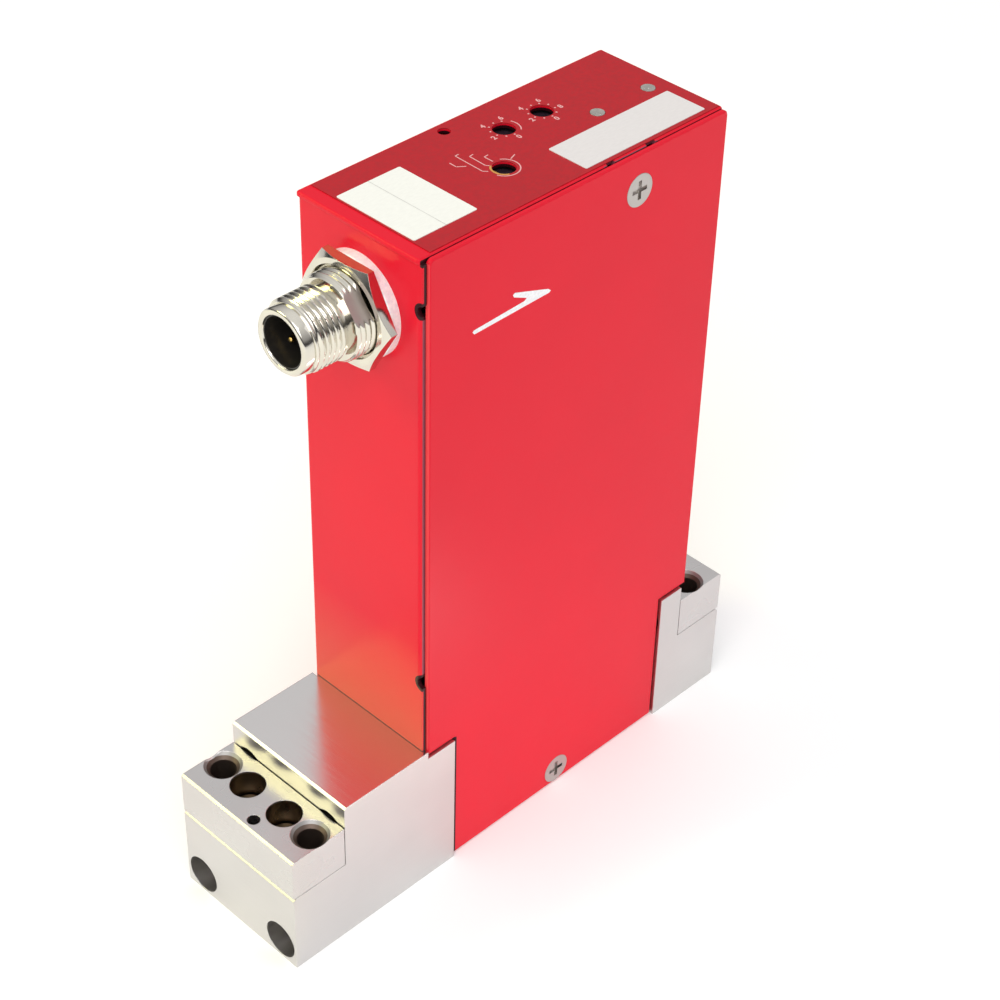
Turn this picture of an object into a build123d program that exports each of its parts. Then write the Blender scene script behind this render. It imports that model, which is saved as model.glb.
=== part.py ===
from build123d import *
from math import sqrt

# Surface-mount mass flow controller: stepped steel block with its gas passages, thermal sensor,
# piezo valve, circuit boards, round connector and folded sheet case.
# Frame: +X is the flow direction, -Y faces the removable side panel, +Z is up.
# The origin is the centre of the block's bottom face. All sizes are in millimetres.

# Base block
base_length = 105.0
base_width = 28.0
base_height = 29.5
ledge_length = 11.35
ledge_height = 16.5
edge_break = 0.4
ledge_edge_break = 0.6

# End plates on the ledges
plate_thickness = 8.45
plate_wall_gap = 0.15
plate_seam_break = 0.12
plate_counterbore = 6.1
plate_screw_seat = 1.55
plate_screw_from_mount = 6.4

# Vertical mounting holes and leak-check holes
mount_inset = 6.5
mount_edge = 3.0
mount_hole = 4.5
mount_countersink = 6.6
leak_hole = 2.2
leak_inset = 2.0
leak_offset = -2.2

# Horizontal bores in the end faces and in the step walls
end_bore = 7.0
end_bore_edge = 3.95
end_bore_height = 3.9
end_bore_depth = 8.0
wall_bore_height = 22.3
wall_bore_depth = 8.0

# Gas path
port_bore = 4.6
port_recess = 10.5
port_recess_depth = 1.3
passage_bore = 4.0
passage_height = 10.0
bypass_x = -9.0
bypass_bore = 12.0
bypass_seat_height = 13.5
bypass_sump_bore = 9.0
bypass_sump_height = 7.0
bypass_length = 9.0
bypass_discs = 9
bypass_groove = 0.35
bypass_groove_depth = 1.0
bypass_channel = 1.4
bypass_channels = 6
transfer_bore = 3.2
transfer_height = 24.6
tap_bore = 1.4
sensor_tap_spacing = 11.8
sensor_tube_offset = -2.0
valve_x = 21.0
valve_bore = 15.0
valve_chamber = 12.0
valve_shoulder_height = 27.2
valve_floor_height = 17.0

# Sensor
sensor_length = 21.0
sensor_width = 20.0
sensor_base_height = 6.0
sensor_corner = 1.5
sensor_screw_x = 16.0
sensor_screw_y = 15.0
tube_diameter = 0.9
tube_height = 18.0
tube_bend = 2.5
tube_foot_gap = 1.0
coil_diameter = 2.2
coil_length = 2.6
coil_gap = 0.4
sensor_cover_height = 25.0
sensor_cover_wall = 1.0
sensor_cover_flange = 1.2
sensor_cover_inset = 0.8
sensor_cover_round = 0.6
screw_head_room = 1.0

# Piezo valve
seat_diameter = 7.0
nozzle_bore = 1.6
nozzle_gap = 0.4
nozzle_chamfer = 1.2
diaphragm_thickness = 0.3
flange_size = 22.0
flange_thickness = 4.0
flange_corner = 2.0
flange_screw_pitch = 16.0
actuator_tube = 17.0
actuator_bore = 13.0
actuator_height = 62.0
actuator_throat = 11.0
push_pin_diameter = 4.0
push_pin_foot = 1.5
piezo_diameter = 10.0
piezo_length = 52.0
piezo_chamfer = 0.4
cap_thickness = 3.0
cap_inset = 0.5
cap_chamfer = 0.5

# Screws
m3 = 3.0
m2_5 = 2.5
m2 = 2.0
thread_clearance = 0.05
low_head_diameter = 5.5
low_head_height = 2.0
low_head_hex = 2.0
low_head_chamfer = 0.2
hex_depth_share = 0.6
screw_tip_share = 0.12
block_thread_depth = 7.5
screw_tip_gap = 0.5
countersink_angle = 90.0

# Case: welded shell with a rear wall, and a removable side panel
case_height = 95.95
case_inlet_x = -23.0
case_outlet_x = 42.3
case_setback = 0.4
case_sheet = 0.8
case_bend = 0.7
top_lip = 0.3
top_corner = 0.5
panel_sheet = 0.8
panel_gap = 0.1
panel_inlet_x = -22.1
panel_outlet_x = 42.5
panel_drop = 0.2
shoulder_drop = 1.2
tongue_inlet_x = -15.9
tongue_outlet_x = 35.5
tongue_bottom = 0.3
cover_clearance = 0.3
seat_clearance = 0.05
panel_corner = 1.0
panel_edge = 0.25
rear_lip = 0.1

# Panel screws, with flat heads as deep as the panel sheet
panel_head_diameter = 5.7
panel_head_foot = 4.1
panel_screw_high_x = 22.4
panel_screw_drop = 6.65
panel_screw_low_x = 9.9
panel_screw_low_height = 3.3
panel_screw_length = 5.0
panel_screw_short = 1.7
cross_recess_length = 3.3
cross_recess_width = 0.75
cross_recess_depth = 0.6

# Folds of the shell along the panel
relief_radius = 1.1
fold_low_height = 44.6
fold_high_height = 116.6
fold_width = 6.0
wall_edge_gap = 0.5
top_edge_gap = 0.15
tab_inlet_x = 17.4
tab_outlet_x = 24.5
tab_length = 11.0
tab_notch_inlet = 1.7
tab_notch_outlet = 2.0
tab_notch_depth = 0.85

# Top face: overlay, labels, openings
overlay_thickness = 0.15
overlay_inlet_x = -20.7
overlay_edge_gap = 0.45
label_thickness = 0.1
label_x = (12.3, 39.3)
label_near_gap = 1.2
label_width = 7.95
sticker_x = (-20.4, -7.7)
sticker_y = (-8.6, 8.0)
label_corner = 0.3
switch_pitch = 8.3
switch_x = 20.2
switch_y = 5.55
switch_opening = 3.8
zero_x = 4.6
zero_edge = 2.4
zero_opening = 2.1
led_x = (26.2, 37.9)
led_y = -0.7
lens_diameter = 2.4
lens_flange = 3.6
lens_flange_thickness = 0.6
lens_proud = 0.1
led_length = 2.0
led_width = 1.25
led_height = 0.6

# Boards
board_thickness = 1.6
board_corner = 1.0
top_board_drop = 5.35
top_board_x = (-8.0, 41.0)
top_board_near_gap = 2.2
top_board_rear_gap = 0.3
standoff_diameter = 4.0
standoff_inset = 2.6
main_board_x = (-20.0, 40.0)
main_board_bottom = 42.0
main_board_gap = 0.8
main_board_top_gap = 1.5
bracket_x = 5.8
bracket_width = 6.6
bracket_height = 30.0
bracket_sheet = 1.0
bracket_foot = 8.0
bracket_foot_screw = 4.4
bracket_screw_heights = (17.0, 25.0)
header_depth = 2.6
header_height = 5.0
header_length = 14.0
header_end_gap = 7.0

# Parts on the main board, placed from its lower corner at the inlet end
processor_size = 12.0
processor_height = 1.4
processor_chamfer = 0.3
processor_place = (14.0, 48.0)
chip_size = (6.0, 4.5)
chip_places = [(6.0, 33.0), (6.0, 25.0), (24.0, 33.0), (53.0, 18.0), (53.0, 28.0), (53.0, 38.0)]
driver_size = (3.0, 1.6)
driver_places = [(26.0, 46.0), (26.0, 52.0)]
chip_height = 1.1
capacitor_diameter = 5.2
capacitor_height = 6.0
capacitor_round = 0.4
capacitor_places = [(56.0, 50.0), (56.0, 58.0)]

# Rotary switches
switch_size = 7.2
switch_height = 4.6
switch_chamfer = 0.3
rotor_diameter = 4.4
rotor_flange = 5.6
rotor_flange_height = 1.0
rotor_clearance = 0.05
rotor_proud = 0.15
rotor_slot_length = 3.2
rotor_slot_width = 0.7
rotor_slot_depth = 0.7

# Zero switch
zero_body = (4.2, 2.6, 2.4)
zero_plunger_diameter = 1.6
zero_flange = 2.1
zero_flange_height = 0.5
zero_roof = 0.5
zero_plunger_drop = 0.9
zero_plunger_round = 0.25

# Connector, on its own axis through the inlet wall
connector_drop = 13.15
thread_diameter = 12.0
thread_length = 5.7
nose_diameter = 10.7
nose_length = 1.9
nose_chamfer = 0.3
thread_chamfer = 0.5
socket_bore = 8.6
groove_diameter = 10.8
groove_length = 1.2
rear_thread_diameter = 14.0
rear_thread_length = 2.95
nut_flats = 17.0
nut_thickness = 1.9
nut_relief = 15.2
nut_corner_share = 0.6
nut_corner_room = 0.1
washer_diameter = 17.2
washer_thickness = 1.85
washer_chamfer = 0.2
gasket_thickness = 0.5
connector_flange = 17.2
connector_flange_length = 1.5
connector_tail = 5.7
connector_tail_diameter = 12.6
insert_bore = 10.0
insert_depth = 8.5
insert_collar = 1.0
insert_tail = 1.0
liner_thickness = 0.2
liner_mouth_gap = 0.35
fit_clearance = 0.05
contact_diameter = 1.0
contact_circle = 5.3
contact_recess = 3.1
contact_tail = 2.6
contact_tip_round = 0.35
key_width = 1.2
key_height = 0.8
key_bore_gap = 0.1
key_mouth_gap = 1.0
connector_board_thickness = 1.2
connector_board_height = 11.0
connector_board_near_y = -7.0
connector_header_inset = 1.0

# Sizes worked out from the above
half_length = base_length / 2
half_width = base_width / 2
mount_spacing = base_width - 2 * mount_edge
plate_screw_spacing = mount_spacing - 2 * plate_screw_from_mount
end_bore_spacing = base_width - 2 * end_bore_edge
case_half_width = half_width - case_setback
wall_x = half_length - ledge_length
mount_x = half_length - mount_inset
case_top = base_height + case_height
case_under = case_top - case_sheet
cover_inner_y = case_half_width - panel_sheet
shell_inner_y = case_half_width - case_sheet
panel_seat_y = cover_inner_y - seat_clearance
shell_seat_y = shell_inner_y - seat_clearance
shoulder_bottom = base_height - shoulder_drop
shell_near_y = -(case_half_width - wall_edge_gap)
top_near_y = -(cover_inner_y - top_edge_gap)
label_y = (top_near_y + label_near_gap, top_near_y + label_near_gap + label_width)
zero_y = case_half_width - zero_edge
top_board_y = (-(cover_inner_y - top_board_near_gap), shell_inner_y - top_board_rear_gap)
flange_near_y = -(cover_inner_y - panel_gap)
shell_inner_x = case_inlet_x + case_sheet
plate_top = ledge_height + plate_thickness
top_board_top = case_under - top_board_drop
top_board_bottom = top_board_top - board_thickness
main_board_rear = shell_inner_y - main_board_gap
main_board_front = main_board_rear - board_thickness
main_board_top = top_board_bottom - main_board_top_gap
connector_z = case_top - connector_drop
nut_outer_x = case_inlet_x - washer_thickness - nut_thickness
thread_end_x = nut_outer_x - rear_thread_length
mouth_x = thread_end_x - groove_length - thread_length - nose_length
insert_face_x = mouth_x + insert_depth
flange_x = shell_inner_x + gasket_thickness
tail_x = flange_x + connector_flange_length + connector_tail
connector_board_x = tail_x + insert_tail
overlay_top = case_top + overlay_thickness
switch_points = [
    (switch_x, switch_y),
    (switch_x - switch_pitch, switch_y),
    (switch_x - 2 * switch_pitch, switch_y - switch_pitch),
]
switch_top = top_board_top + switch_height
rotor_top = switch_top + rotor_proud
sensor_top = base_height + sensor_base_height
sensor_tube_x = bypass_x + sensor_tube_offset
sensor_taps = (sensor_tube_x - sensor_tap_spacing / 2, sensor_tube_x + sensor_tap_spacing / 2)
flange_top = base_height + flange_thickness
actuator_top = flange_top + actuator_height


def upward(x, y, z):
    """Plane that faces up at a point."""
    return Plane(origin=(x, y, z), x_dir=(1, 0, 0), z_dir=(0, 0, 1))


def downward(x, y, z):
    """Plane that faces down at a point."""
    return Plane(origin=(x, y, z), x_dir=(1, 0, 0), z_dir=(0, 0, -1))


def facing_x(x, y, z, side):
    """Plane that faces +X or -X at a point, with its own x along Y."""
    return Plane(origin=(x, y, z), x_dir=(0, 1, 0), z_dir=(side, 0, 0))


def facing_y(x, y, z, side):
    """Plane that faces +Y or -Y at a point, with its own x along X."""
    return Plane(origin=(x, y, z), x_dir=(1, 0, 0), z_dir=(0, side, 0))


def edges_at(part, axis, x=None, y=None, z=None):
    """Edges parallel to an axis whose middle lies at the given coordinates."""
    found = part.edges().filter_by(axis)
    for direction, value in ((Axis.X, x), (Axis.Y, y), (Axis.Z, z)):
        if value is not None:
            found = found.filter_by_position(direction, value - 0.01, value + 0.01)
    return found


def save(part, name):
    """Label a finished piece and write its STEP file."""
    part.label = name
    export_step(part, "parts/" + name + ".step")


def side_outline(inlet_x, outlet_x, top, bottom, grow=0.0):
    """Side cover seen along Y: shoulders above the block and a tongue in the block's recess."""
    low = shoulder_bottom - grow
    with BuildSketch(Plane.XZ, mode=Mode.PRIVATE) as outline:
        with BuildLine():
            Polyline(
                (inlet_x - grow, top),
                (outlet_x + grow, top),
                (outlet_x + grow, low),
                (tongue_outlet_x + grow, low),
                (tongue_outlet_x + grow, bottom),
                (tongue_inlet_x - grow, bottom),
                (tongue_inlet_x - grow, low),
                (inlet_x - grow, low),
                close=True,
            )
        make_face()
    return outline.sketch


def cap_screw(thread, length):
    """Low cap screw, head up, with the underside of its head at the origin."""
    head = low_head_diameter * thread / m3
    height = low_head_height * thread / m3
    with BuildPart() as screw:
        with BuildSketch():
            Circle(head / 2)
        extrude(amount=height)
        chamfer(screw.edges().group_by(Axis.Z)[-1], low_head_chamfer)
        with BuildSketch(Plane.XY.offset(height)):
            RegularPolygon(low_head_hex * thread / m3 / 2, 6, major_radius=False)
        extrude(amount=-height * hex_depth_share, mode=Mode.SUBTRACT)
        with BuildSketch():
            Circle(thread / 2)
        extrude(amount=-length)
        chamfer(screw.edges().group_by(Axis.Z)[0], thread * screw_tip_share)
    return screw.part


def flat_screw(length):
    """Flat-head screw with a cross recess, its head's face at the origin, pointing down."""
    with BuildPart() as screw:
        with BuildSketch():
            Circle(panel_head_diameter / 2)
        with BuildSketch(Plane.XY.offset(-panel_sheet)):
            Circle(panel_head_foot / 2)
        loft()
        with BuildSketch(Plane.XY.offset(-panel_sheet)):
            Circle(m3 / 2)
        extrude(amount=-length)
        with BuildSketch():
            Rectangle(cross_recess_length, cross_recess_width)
            Rectangle(cross_recess_width, cross_recess_length)
        extrude(amount=-cross_recess_depth, mode=Mode.SUBTRACT)
    return screw.part


def group_at(piece, planes):
    """Copies of one piece as separate solids, one on each plane."""
    with BuildPart() as group:
        for plane in planes:
            with Locations(plane.location):
                add(piece)
    return group.part


# ---- Base block: stepped bar with recesses for the side covers, bores and gas passages
plate_screw_points = [
    (side * mount_x, across * plate_screw_spacing / 2) for side in (-1, 1) for across in (-1, 1)
]
mount_points = [(side * mount_x, across * mount_spacing / 2) for side in (-1, 1) for across in (-1, 1)]
sensor_screw_points = [
    (bypass_x + along * sensor_screw_x / 2, across * sensor_screw_y / 2)
    for along in (-1, 1)
    for across in (-1, 1)
]
valve_screw_points = [
    (valve_x + along * flange_screw_pitch / 2, across * flange_screw_pitch / 2)
    for along in (-1, 1)
    for across in (-1, 1)
]

with BuildPart() as base_block:
    with BuildSketch(Plane.XZ.offset(-half_width)):
        with BuildLine():
            Polyline(
                (-half_length, 0),
                (half_length, 0),
                (half_length, ledge_height),
                (wall_x, ledge_height),
                (wall_x, base_height),
                (-wall_x, base_height),
                (-wall_x, ledge_height),
                (-half_length, ledge_height),
                close=True,
            )
        make_face()
    extrude(amount=base_width)
    for side in (-1, 1):
        chamfer(edges_at(base_block, Axis.Y, x=side * half_length, z=ledge_height), ledge_edge_break)
        chamfer(edges_at(base_block, Axis.Y, x=side * wall_x, z=base_height), edge_break)
    near_recess = side_outline(
        panel_inlet_x, panel_outlet_x, base_height + cover_clearance, -cover_clearance, cover_clearance
    )
    far_recess = side_outline(
        case_inlet_x, case_outlet_x, base_height + cover_clearance, -cover_clearance, cover_clearance
    )
    extrude(near_recess.moved(Location((0, -panel_seat_y, 0))), amount=base_width, mode=Mode.SUBTRACT)
    extrude(far_recess.moved(Location((0, shell_seat_y, 0))), amount=-base_width, mode=Mode.SUBTRACT)
    for side in (-1, 1):
        for across in (-1, 1):
            bore_y = across * end_bore_spacing / 2
            with Locations(facing_x(side * half_length, bore_y, end_bore_height, side).location):
                Hole(end_bore / 2, end_bore_depth)
            with Locations(facing_x(side * wall_x, bore_y, wall_bore_height, side).location):
                Hole(end_bore / 2, wall_bore_depth)
        with Locations(downward(side * mount_x, 0, 0).location):
            CounterBoreHole(port_bore / 2, port_recess / 2, port_recess_depth, passage_height)
        with Locations(upward(side * (half_length - leak_inset), leak_offset, ledge_height).location):
            Hole(leak_hole / 2, ledge_height)
    for x, y in mount_points:
        with Locations(upward(x, y, ledge_height).location):
            Hole(mount_hole / 2, ledge_height)
    for x, y in plate_screw_points:
        with Locations(upward(x, y, ledge_height).location):
            Hole(m3 / 2 + thread_clearance, block_thread_depth)
    for x, y in sensor_screw_points:
        with Locations(upward(x, y, base_height).location):
            Hole(m2_5 / 2 + thread_clearance, block_thread_depth)
    for x, y in valve_screw_points:
        with Locations(upward(x, y, base_height).location):
            Hole(m3 / 2 + thread_clearance, block_thread_depth)
    with Locations(upward(bracket_x, main_board_front - bracket_foot_screw, base_height).location):
        Hole(m2_5 / 2 + thread_clearance, block_thread_depth)
    # bypass bore, on the sensor side
    with Locations(upward(bypass_x, 0, base_height).location):
        CounterBoreHole(
            bypass_sump_bore / 2,
            bypass_bore / 2,
            base_height - bypass_seat_height,
            base_height - bypass_sump_height,
        )
    # valve bore, its seat floor and the hole under the seat
    with Locations(upward(valve_x, 0, base_height).location):
        CounterBoreHole(
            valve_chamber / 2,
            valve_bore / 2,
            base_height - valve_shoulder_height,
            base_height - valve_floor_height,
        )
        Hole(nozzle_bore / 2, base_height - passage_height)
    # inlet passage, transfer passage and outlet passage, closed at both ends
    passages = [
        (-mount_x, bypass_x, passage_height, passage_bore),
        (bypass_x, valve_x, transfer_height, transfer_bore),
        (valve_x - nozzle_bore / 2, mount_x, passage_height, passage_bore),
    ]
    for start_x, end_x, height, diameter in passages:
        with BuildSketch(facing_x(start_x, 0, height, 1)):
            Circle(diameter / 2)
        extrude(amount=end_x - start_x, mode=Mode.SUBTRACT)
    # upstream sensor tap
    with Locations(upward(sensor_taps[0], 0, base_height).location):
        Hole(tap_bore / 2, base_height - passage_height)
    # threads for the panel's and the shell's lower screws
    for side, seat_y in ((-1, panel_seat_y), (1, shell_seat_y)):
        seat = facing_y(panel_screw_low_x, side * seat_y, panel_screw_low_height, side)
        with Locations(seat.location):
            Hole(m3 / 2 + thread_clearance, panel_screw_length + screw_tip_gap)
save(base_block.part, "base_block")

# ---- End plates, screwed to the ledges
inner_x = wall_x + plate_wall_gap
for side, name in ((-1, "inlet_plate"), (1, "outlet_plate")):
    with BuildPart() as end_plate:
        with BuildSketch(Plane.XY.offset(ledge_height)):
            with Locations((side * (half_length + inner_x) / 2, 0)):
                Rectangle(half_length - inner_x, base_width)
        extrude(amount=plate_thickness)
        chamfer(edges_at(end_plate, Axis.Y, x=side * half_length, z=plate_top), edge_break)
        chamfer(end_plate.edges().group_by(Axis.Z)[0], plate_seam_break)
        for across in (-1, 1):
            with Locations(upward(side * mount_x, across * mount_spacing / 2, plate_top).location):
                CounterSinkHole(mount_hole / 2, mount_countersink / 2, plate_thickness, countersink_angle)
            screw_y = across * plate_screw_spacing / 2
            with Locations(upward(side * mount_x, screw_y, plate_top).location):
                CounterBoreHole(
                    m3 / 2 + 2 * thread_clearance,
                    plate_counterbore / 2,
                    plate_thickness - plate_screw_seat,
                    plate_thickness,
                )
        with Locations(upward(side * (half_length - leak_inset), leak_offset, plate_top).location):
            Hole(leak_hole / 2, plate_thickness)
    save(end_plate.part, name)

plate_screw_length = plate_screw_seat + block_thread_depth - screw_tip_gap
plate_screws = group_at(
    cap_screw(m3, plate_screw_length),
    [upward(x, y, ledge_height + plate_screw_seat) for x, y in plate_screw_points],
)
save(plate_screws, "plate_screws")

# ---- Bypass element: a stack of grooved discs in the bypass bore
with BuildPart() as bypass_element:
    with BuildSketch(upward(bypass_x, 0, bypass_seat_height)):
        Circle(bypass_bore / 2 - fit_clearance)
    extrude(amount=bypass_length)
    disc_pitch = bypass_length / bypass_discs
    for disc in range(1, bypass_discs):
        with BuildSketch(upward(bypass_x, 0, bypass_seat_height + disc * disc_pitch)):
            Circle(bypass_bore / 2)
            Circle(bypass_bore / 2 - bypass_groove_depth, mode=Mode.SUBTRACT)
        extrude(amount=bypass_groove / 2, both=True, mode=Mode.SUBTRACT)
    with BuildSketch(upward(bypass_x, 0, bypass_seat_height)):
        with PolarLocations(bypass_bore / 4, bypass_channels):
            Circle(bypass_channel / 2)
    extrude(amount=bypass_length, mode=Mode.SUBTRACT)
save(bypass_element.part, "bypass_element")

# ---- Thermal sensor: base, bent capillary tube, two windings, screwed cover
with BuildPart() as sensor_base:
    with BuildSketch(upward(bypass_x, 0, base_height)):
        RectangleRounded(sensor_length, sensor_width, sensor_corner)
    extrude(amount=sensor_base_height)
    for x in sensor_taps:
        with Locations(upward(x, 0, sensor_top).location):
            Hole(tube_diameter / 2 + fit_clearance, sensor_base_height)
    for x, y in sensor_screw_points:
        with Locations(upward(x, y, sensor_top).location):
            Hole(m2_5 / 2 + 2 * thread_clearance, sensor_base_height)
save(sensor_base.part, "sensor_base")

tube_top = sensor_top + tube_height
tube_foot = base_height + tube_foot_gap
with BuildPart() as sensor_tube:
    with BuildLine():
        FilletPolyline(
            (sensor_taps[0], 0, tube_foot),
            (sensor_taps[0], 0, tube_top),
            (sensor_taps[1], 0, tube_top),
            (sensor_taps[1], 0, tube_foot),
            radius=tube_bend,
        )
    with BuildSketch(upward(sensor_taps[0], 0, tube_foot)):
        Circle(tube_diameter / 2)
        Circle(tube_diameter / 4, mode=Mode.SUBTRACT)
    sweep()
save(sensor_tube.part, "sensor_tube")

with BuildPart() as sensor_coils:
    for along in (-1, 1):
        coil_x = sensor_tube_x + along * (coil_length + coil_gap) / 2
        with BuildSketch(facing_x(coil_x, 0, tube_top, 1)):
            Circle(coil_diameter / 2)
            Circle(tube_diameter / 2 + fit_clearance / 2, mode=Mode.SUBTRACT)
        extrude(amount=coil_length / 2, both=True)
save(sensor_coils.part, "sensor_coils")

cover_length = sensor_length - 2 * sensor_cover_inset
cover_width = sensor_screw_y - low_head_diameter - screw_head_room
with BuildPart() as sensor_cover:
    with BuildSketch(upward(bypass_x, 0, sensor_top)):
        RectangleRounded(sensor_length, sensor_width, sensor_corner)
    extrude(amount=sensor_cover_flange)
    with BuildSketch(upward(bypass_x, 0, sensor_top)):
        RectangleRounded(cover_length, cover_width, sensor_corner)
    extrude(amount=sensor_cover_height)
    fillet(sensor_cover.faces().sort_by(Axis.Z)[-1].edges(), sensor_cover_round)
    with BuildSketch(upward(bypass_x, 0, sensor_top)):
        Rectangle(cover_length - 2 * sensor_cover_wall, cover_width - 2 * sensor_cover_wall)
    extrude(amount=sensor_cover_height - sensor_cover_wall, mode=Mode.SUBTRACT)
    for x, y in sensor_screw_points:
        with Locations(upward(x, y, sensor_top + sensor_cover_flange).location):
            Hole(m2_5 / 2 + 2 * thread_clearance, sensor_cover_flange)
save(sensor_cover.part, "sensor_cover")

sensor_screws = group_at(
    cap_screw(m2_5, sensor_cover_flange + sensor_base_height + block_thread_depth - screw_tip_gap),
    [upward(x, y, sensor_top + sensor_cover_flange) for x, y in sensor_screw_points],
)
save(sensor_screws, "sensor_screws")

# ---- Piezo valve: nozzle seat, diaphragm, push pin, stack, housing, cap
with BuildPart() as valve_seat:
    with BuildSketch(upward(valve_x, 0, valve_floor_height)):
        Circle(seat_diameter / 2)
    seat_height = valve_shoulder_height - valve_floor_height - nozzle_gap
    extrude(amount=seat_height)
    chamfer(valve_seat.edges().group_by(Axis.Z)[-1], nozzle_chamfer)
    with Locations(upward(valve_x, 0, valve_floor_height + seat_height).location):
        Hole(nozzle_bore / 2, seat_height)
save(valve_seat.part, "valve_seat")

with BuildPart() as valve_diaphragm:
    with BuildSketch(upward(valve_x, 0, valve_shoulder_height)):
        Circle(valve_bore / 2 - fit_clearance)
    extrude(amount=diaphragm_thickness)
save(valve_diaphragm.part, "valve_diaphragm")

diaphragm_top = valve_shoulder_height + diaphragm_thickness
with BuildPart() as actuator_housing:
    with BuildSketch(upward(valve_x, 0, base_height)):
        RectangleRounded(flange_size, flange_size, flange_corner)
    extrude(amount=flange_thickness)
    with BuildSketch(upward(valve_x, 0, diaphragm_top)):
        Circle(valve_bore / 2 - fit_clearance)
    extrude(amount=base_height - diaphragm_top)
    with BuildSketch(upward(valve_x, 0, flange_top)):
        Circle(actuator_tube / 2)
    extrude(amount=actuator_height)
    with Locations(upward(valve_x, 0, actuator_top).location):
        CounterBoreHole(
            actuator_throat / 2, actuator_bore / 2, actuator_height, actuator_top - diaphragm_top
        )
    for x, y in valve_screw_points:
        with Locations(upward(x, y, flange_top).location):
            Hole(m3 / 2 + 2 * thread_clearance, flange_thickness)
save(actuator_housing.part, "actuator_housing")

actuator_screws = group_at(
    cap_screw(m3, flange_thickness + block_thread_depth - screw_tip_gap),
    [upward(x, y, flange_top) for x, y in valve_screw_points],
)
save(actuator_screws, "actuator_screws")

with BuildPart() as push_pin:
    with BuildSketch(upward(valve_x, 0, diaphragm_top)):
        Circle(push_pin_diameter / 2)
    extrude(amount=flange_top - diaphragm_top)
    with BuildSketch(upward(valve_x, 0, flange_top)):
        Circle(piezo_diameter / 2)
    extrude(amount=-push_pin_foot)
save(push_pin.part, "push_pin")

with BuildPart() as piezo_stack:
    with BuildSketch(upward(valve_x, 0, flange_top)):
        Circle(piezo_diameter / 2)
    extrude(amount=piezo_length)
    chamfer(piezo_stack.edges(), piezo_chamfer)
save(piezo_stack.part, "piezo_stack")

with BuildPart() as actuator_cap:
    with BuildSketch(upward(valve_x, 0, actuator_top)):
        RegularPolygon(actuator_tube / 2 - cap_inset, 6, major_radius=False)
    extrude(amount=cap_thickness)
    chamfer(actuator_cap.faces().sort_by(Axis.Z)[-1].edges(), cap_chamfer)
    with BuildSketch(upward(valve_x, 0, flange_top + piezo_length)):
        Circle(actuator_bore / 2 - fit_clearance)
    extrude(amount=actuator_height - piezo_length)
save(actuator_cap.part, "actuator_cap")

# ---- Boards: main board upright behind the valve, top board hung under the case's top
bracket_screw_z = [base_height + height for height in bracket_screw_heights]
bracket_back = main_board_front
bracket_foot_point = upward(bracket_x, bracket_back - bracket_foot_screw, base_height + bracket_sheet)
with BuildPart() as board_bracket:
    with BuildSketch(facing_x(bracket_x, 0, 0, 1)):
        with BuildLine():
            Polyline(
                (bracket_back - bracket_foot, base_height),
                (bracket_back, base_height),
                (bracket_back, base_height + bracket_height),
                (bracket_back - bracket_sheet, base_height + bracket_height),
                (bracket_back - bracket_sheet, base_height + bracket_sheet),
                (bracket_back - bracket_foot, base_height + bracket_sheet),
                close=True,
            )
        make_face()
    extrude(amount=bracket_width / 2, both=True)
    fillet(edges_at(board_bracket, Axis.X, y=bracket_back, z=base_height), bracket_sheet * 0.9)
    with Locations(bracket_foot_point.location):
        Hole(m2_5 / 2 + 2 * thread_clearance, bracket_sheet)
    for z in bracket_screw_z:
        with Locations(facing_y(bracket_x, bracket_back, z, 1).location):
            Hole(m2 / 2 + 2 * thread_clearance, bracket_sheet)
save(board_bracket.part, "board_bracket")

bracket_screw = group_at(
    cap_screw(m2_5, bracket_sheet + block_thread_depth - screw_tip_gap),
    [bracket_foot_point],
)
save(bracket_screw, "bracket_screw")

main_length = main_board_x[1] - main_board_x[0]
main_height = main_board_top - main_board_bottom
with BuildPart() as main_board:
    with BuildSketch(Plane.XZ.offset(-main_board_rear)):
        with Locations((sum(main_board_x) / 2, (main_board_bottom + main_board_top) / 2)):
            RectangleRounded(main_length, main_height, board_corner)
    extrude(amount=board_thickness)
    for z in bracket_screw_z:
        with Locations(facing_y(bracket_x, main_board_rear, z, 1).location):
            Hole(m2 / 2 + thread_clearance, board_thickness)
save(main_board.part, "main_board")

main_board_screws = group_at(
    cap_screw(m2, bracket_sheet + board_thickness),
    [facing_y(bracket_x, bracket_back - bracket_sheet, z, -1) for z in bracket_screw_z],
)
save(main_board_screws, "main_board_screws")

board_face = facing_y(main_board_x[0], main_board_front, main_board_bottom, -1)
with BuildPart() as processor:
    with BuildSketch(board_face):
        with Locations(processor_place):
            Rectangle(processor_size, processor_size)
    extrude(amount=processor_height)
    chamfer(processor.faces().sort_by(Axis.Y)[0].edges(), processor_chamfer)
save(processor.part, "processor")

with BuildPart() as small_chips:
    with BuildSketch(board_face):
        with Locations(*chip_places):
            Rectangle(*chip_size)
        with Locations(*driver_places):
            Rectangle(*driver_size)
    extrude(amount=chip_height)
save(small_chips.part, "small_chips")

with BuildPart() as capacitors:
    with BuildSketch(board_face):
        with Locations(*capacitor_places):
            Circle(capacitor_diameter / 2)
    extrude(amount=capacitor_height)
    fillet(capacitors.faces().sort_by(Axis.Y)[: len(capacitor_places)].edges(), capacitor_round)
save(capacitors.part, "capacitors")

with BuildPart() as board_header:
    header_x = main_board_x[1] - header_end_gap - header_length
    with BuildSketch(upward(header_x, main_board_front - header_depth, top_board_bottom)):
        Rectangle(header_length, header_depth, align=(Align.MIN, Align.MIN))
    extrude(amount=-header_height)
save(board_header.part, "board_header")

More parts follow.
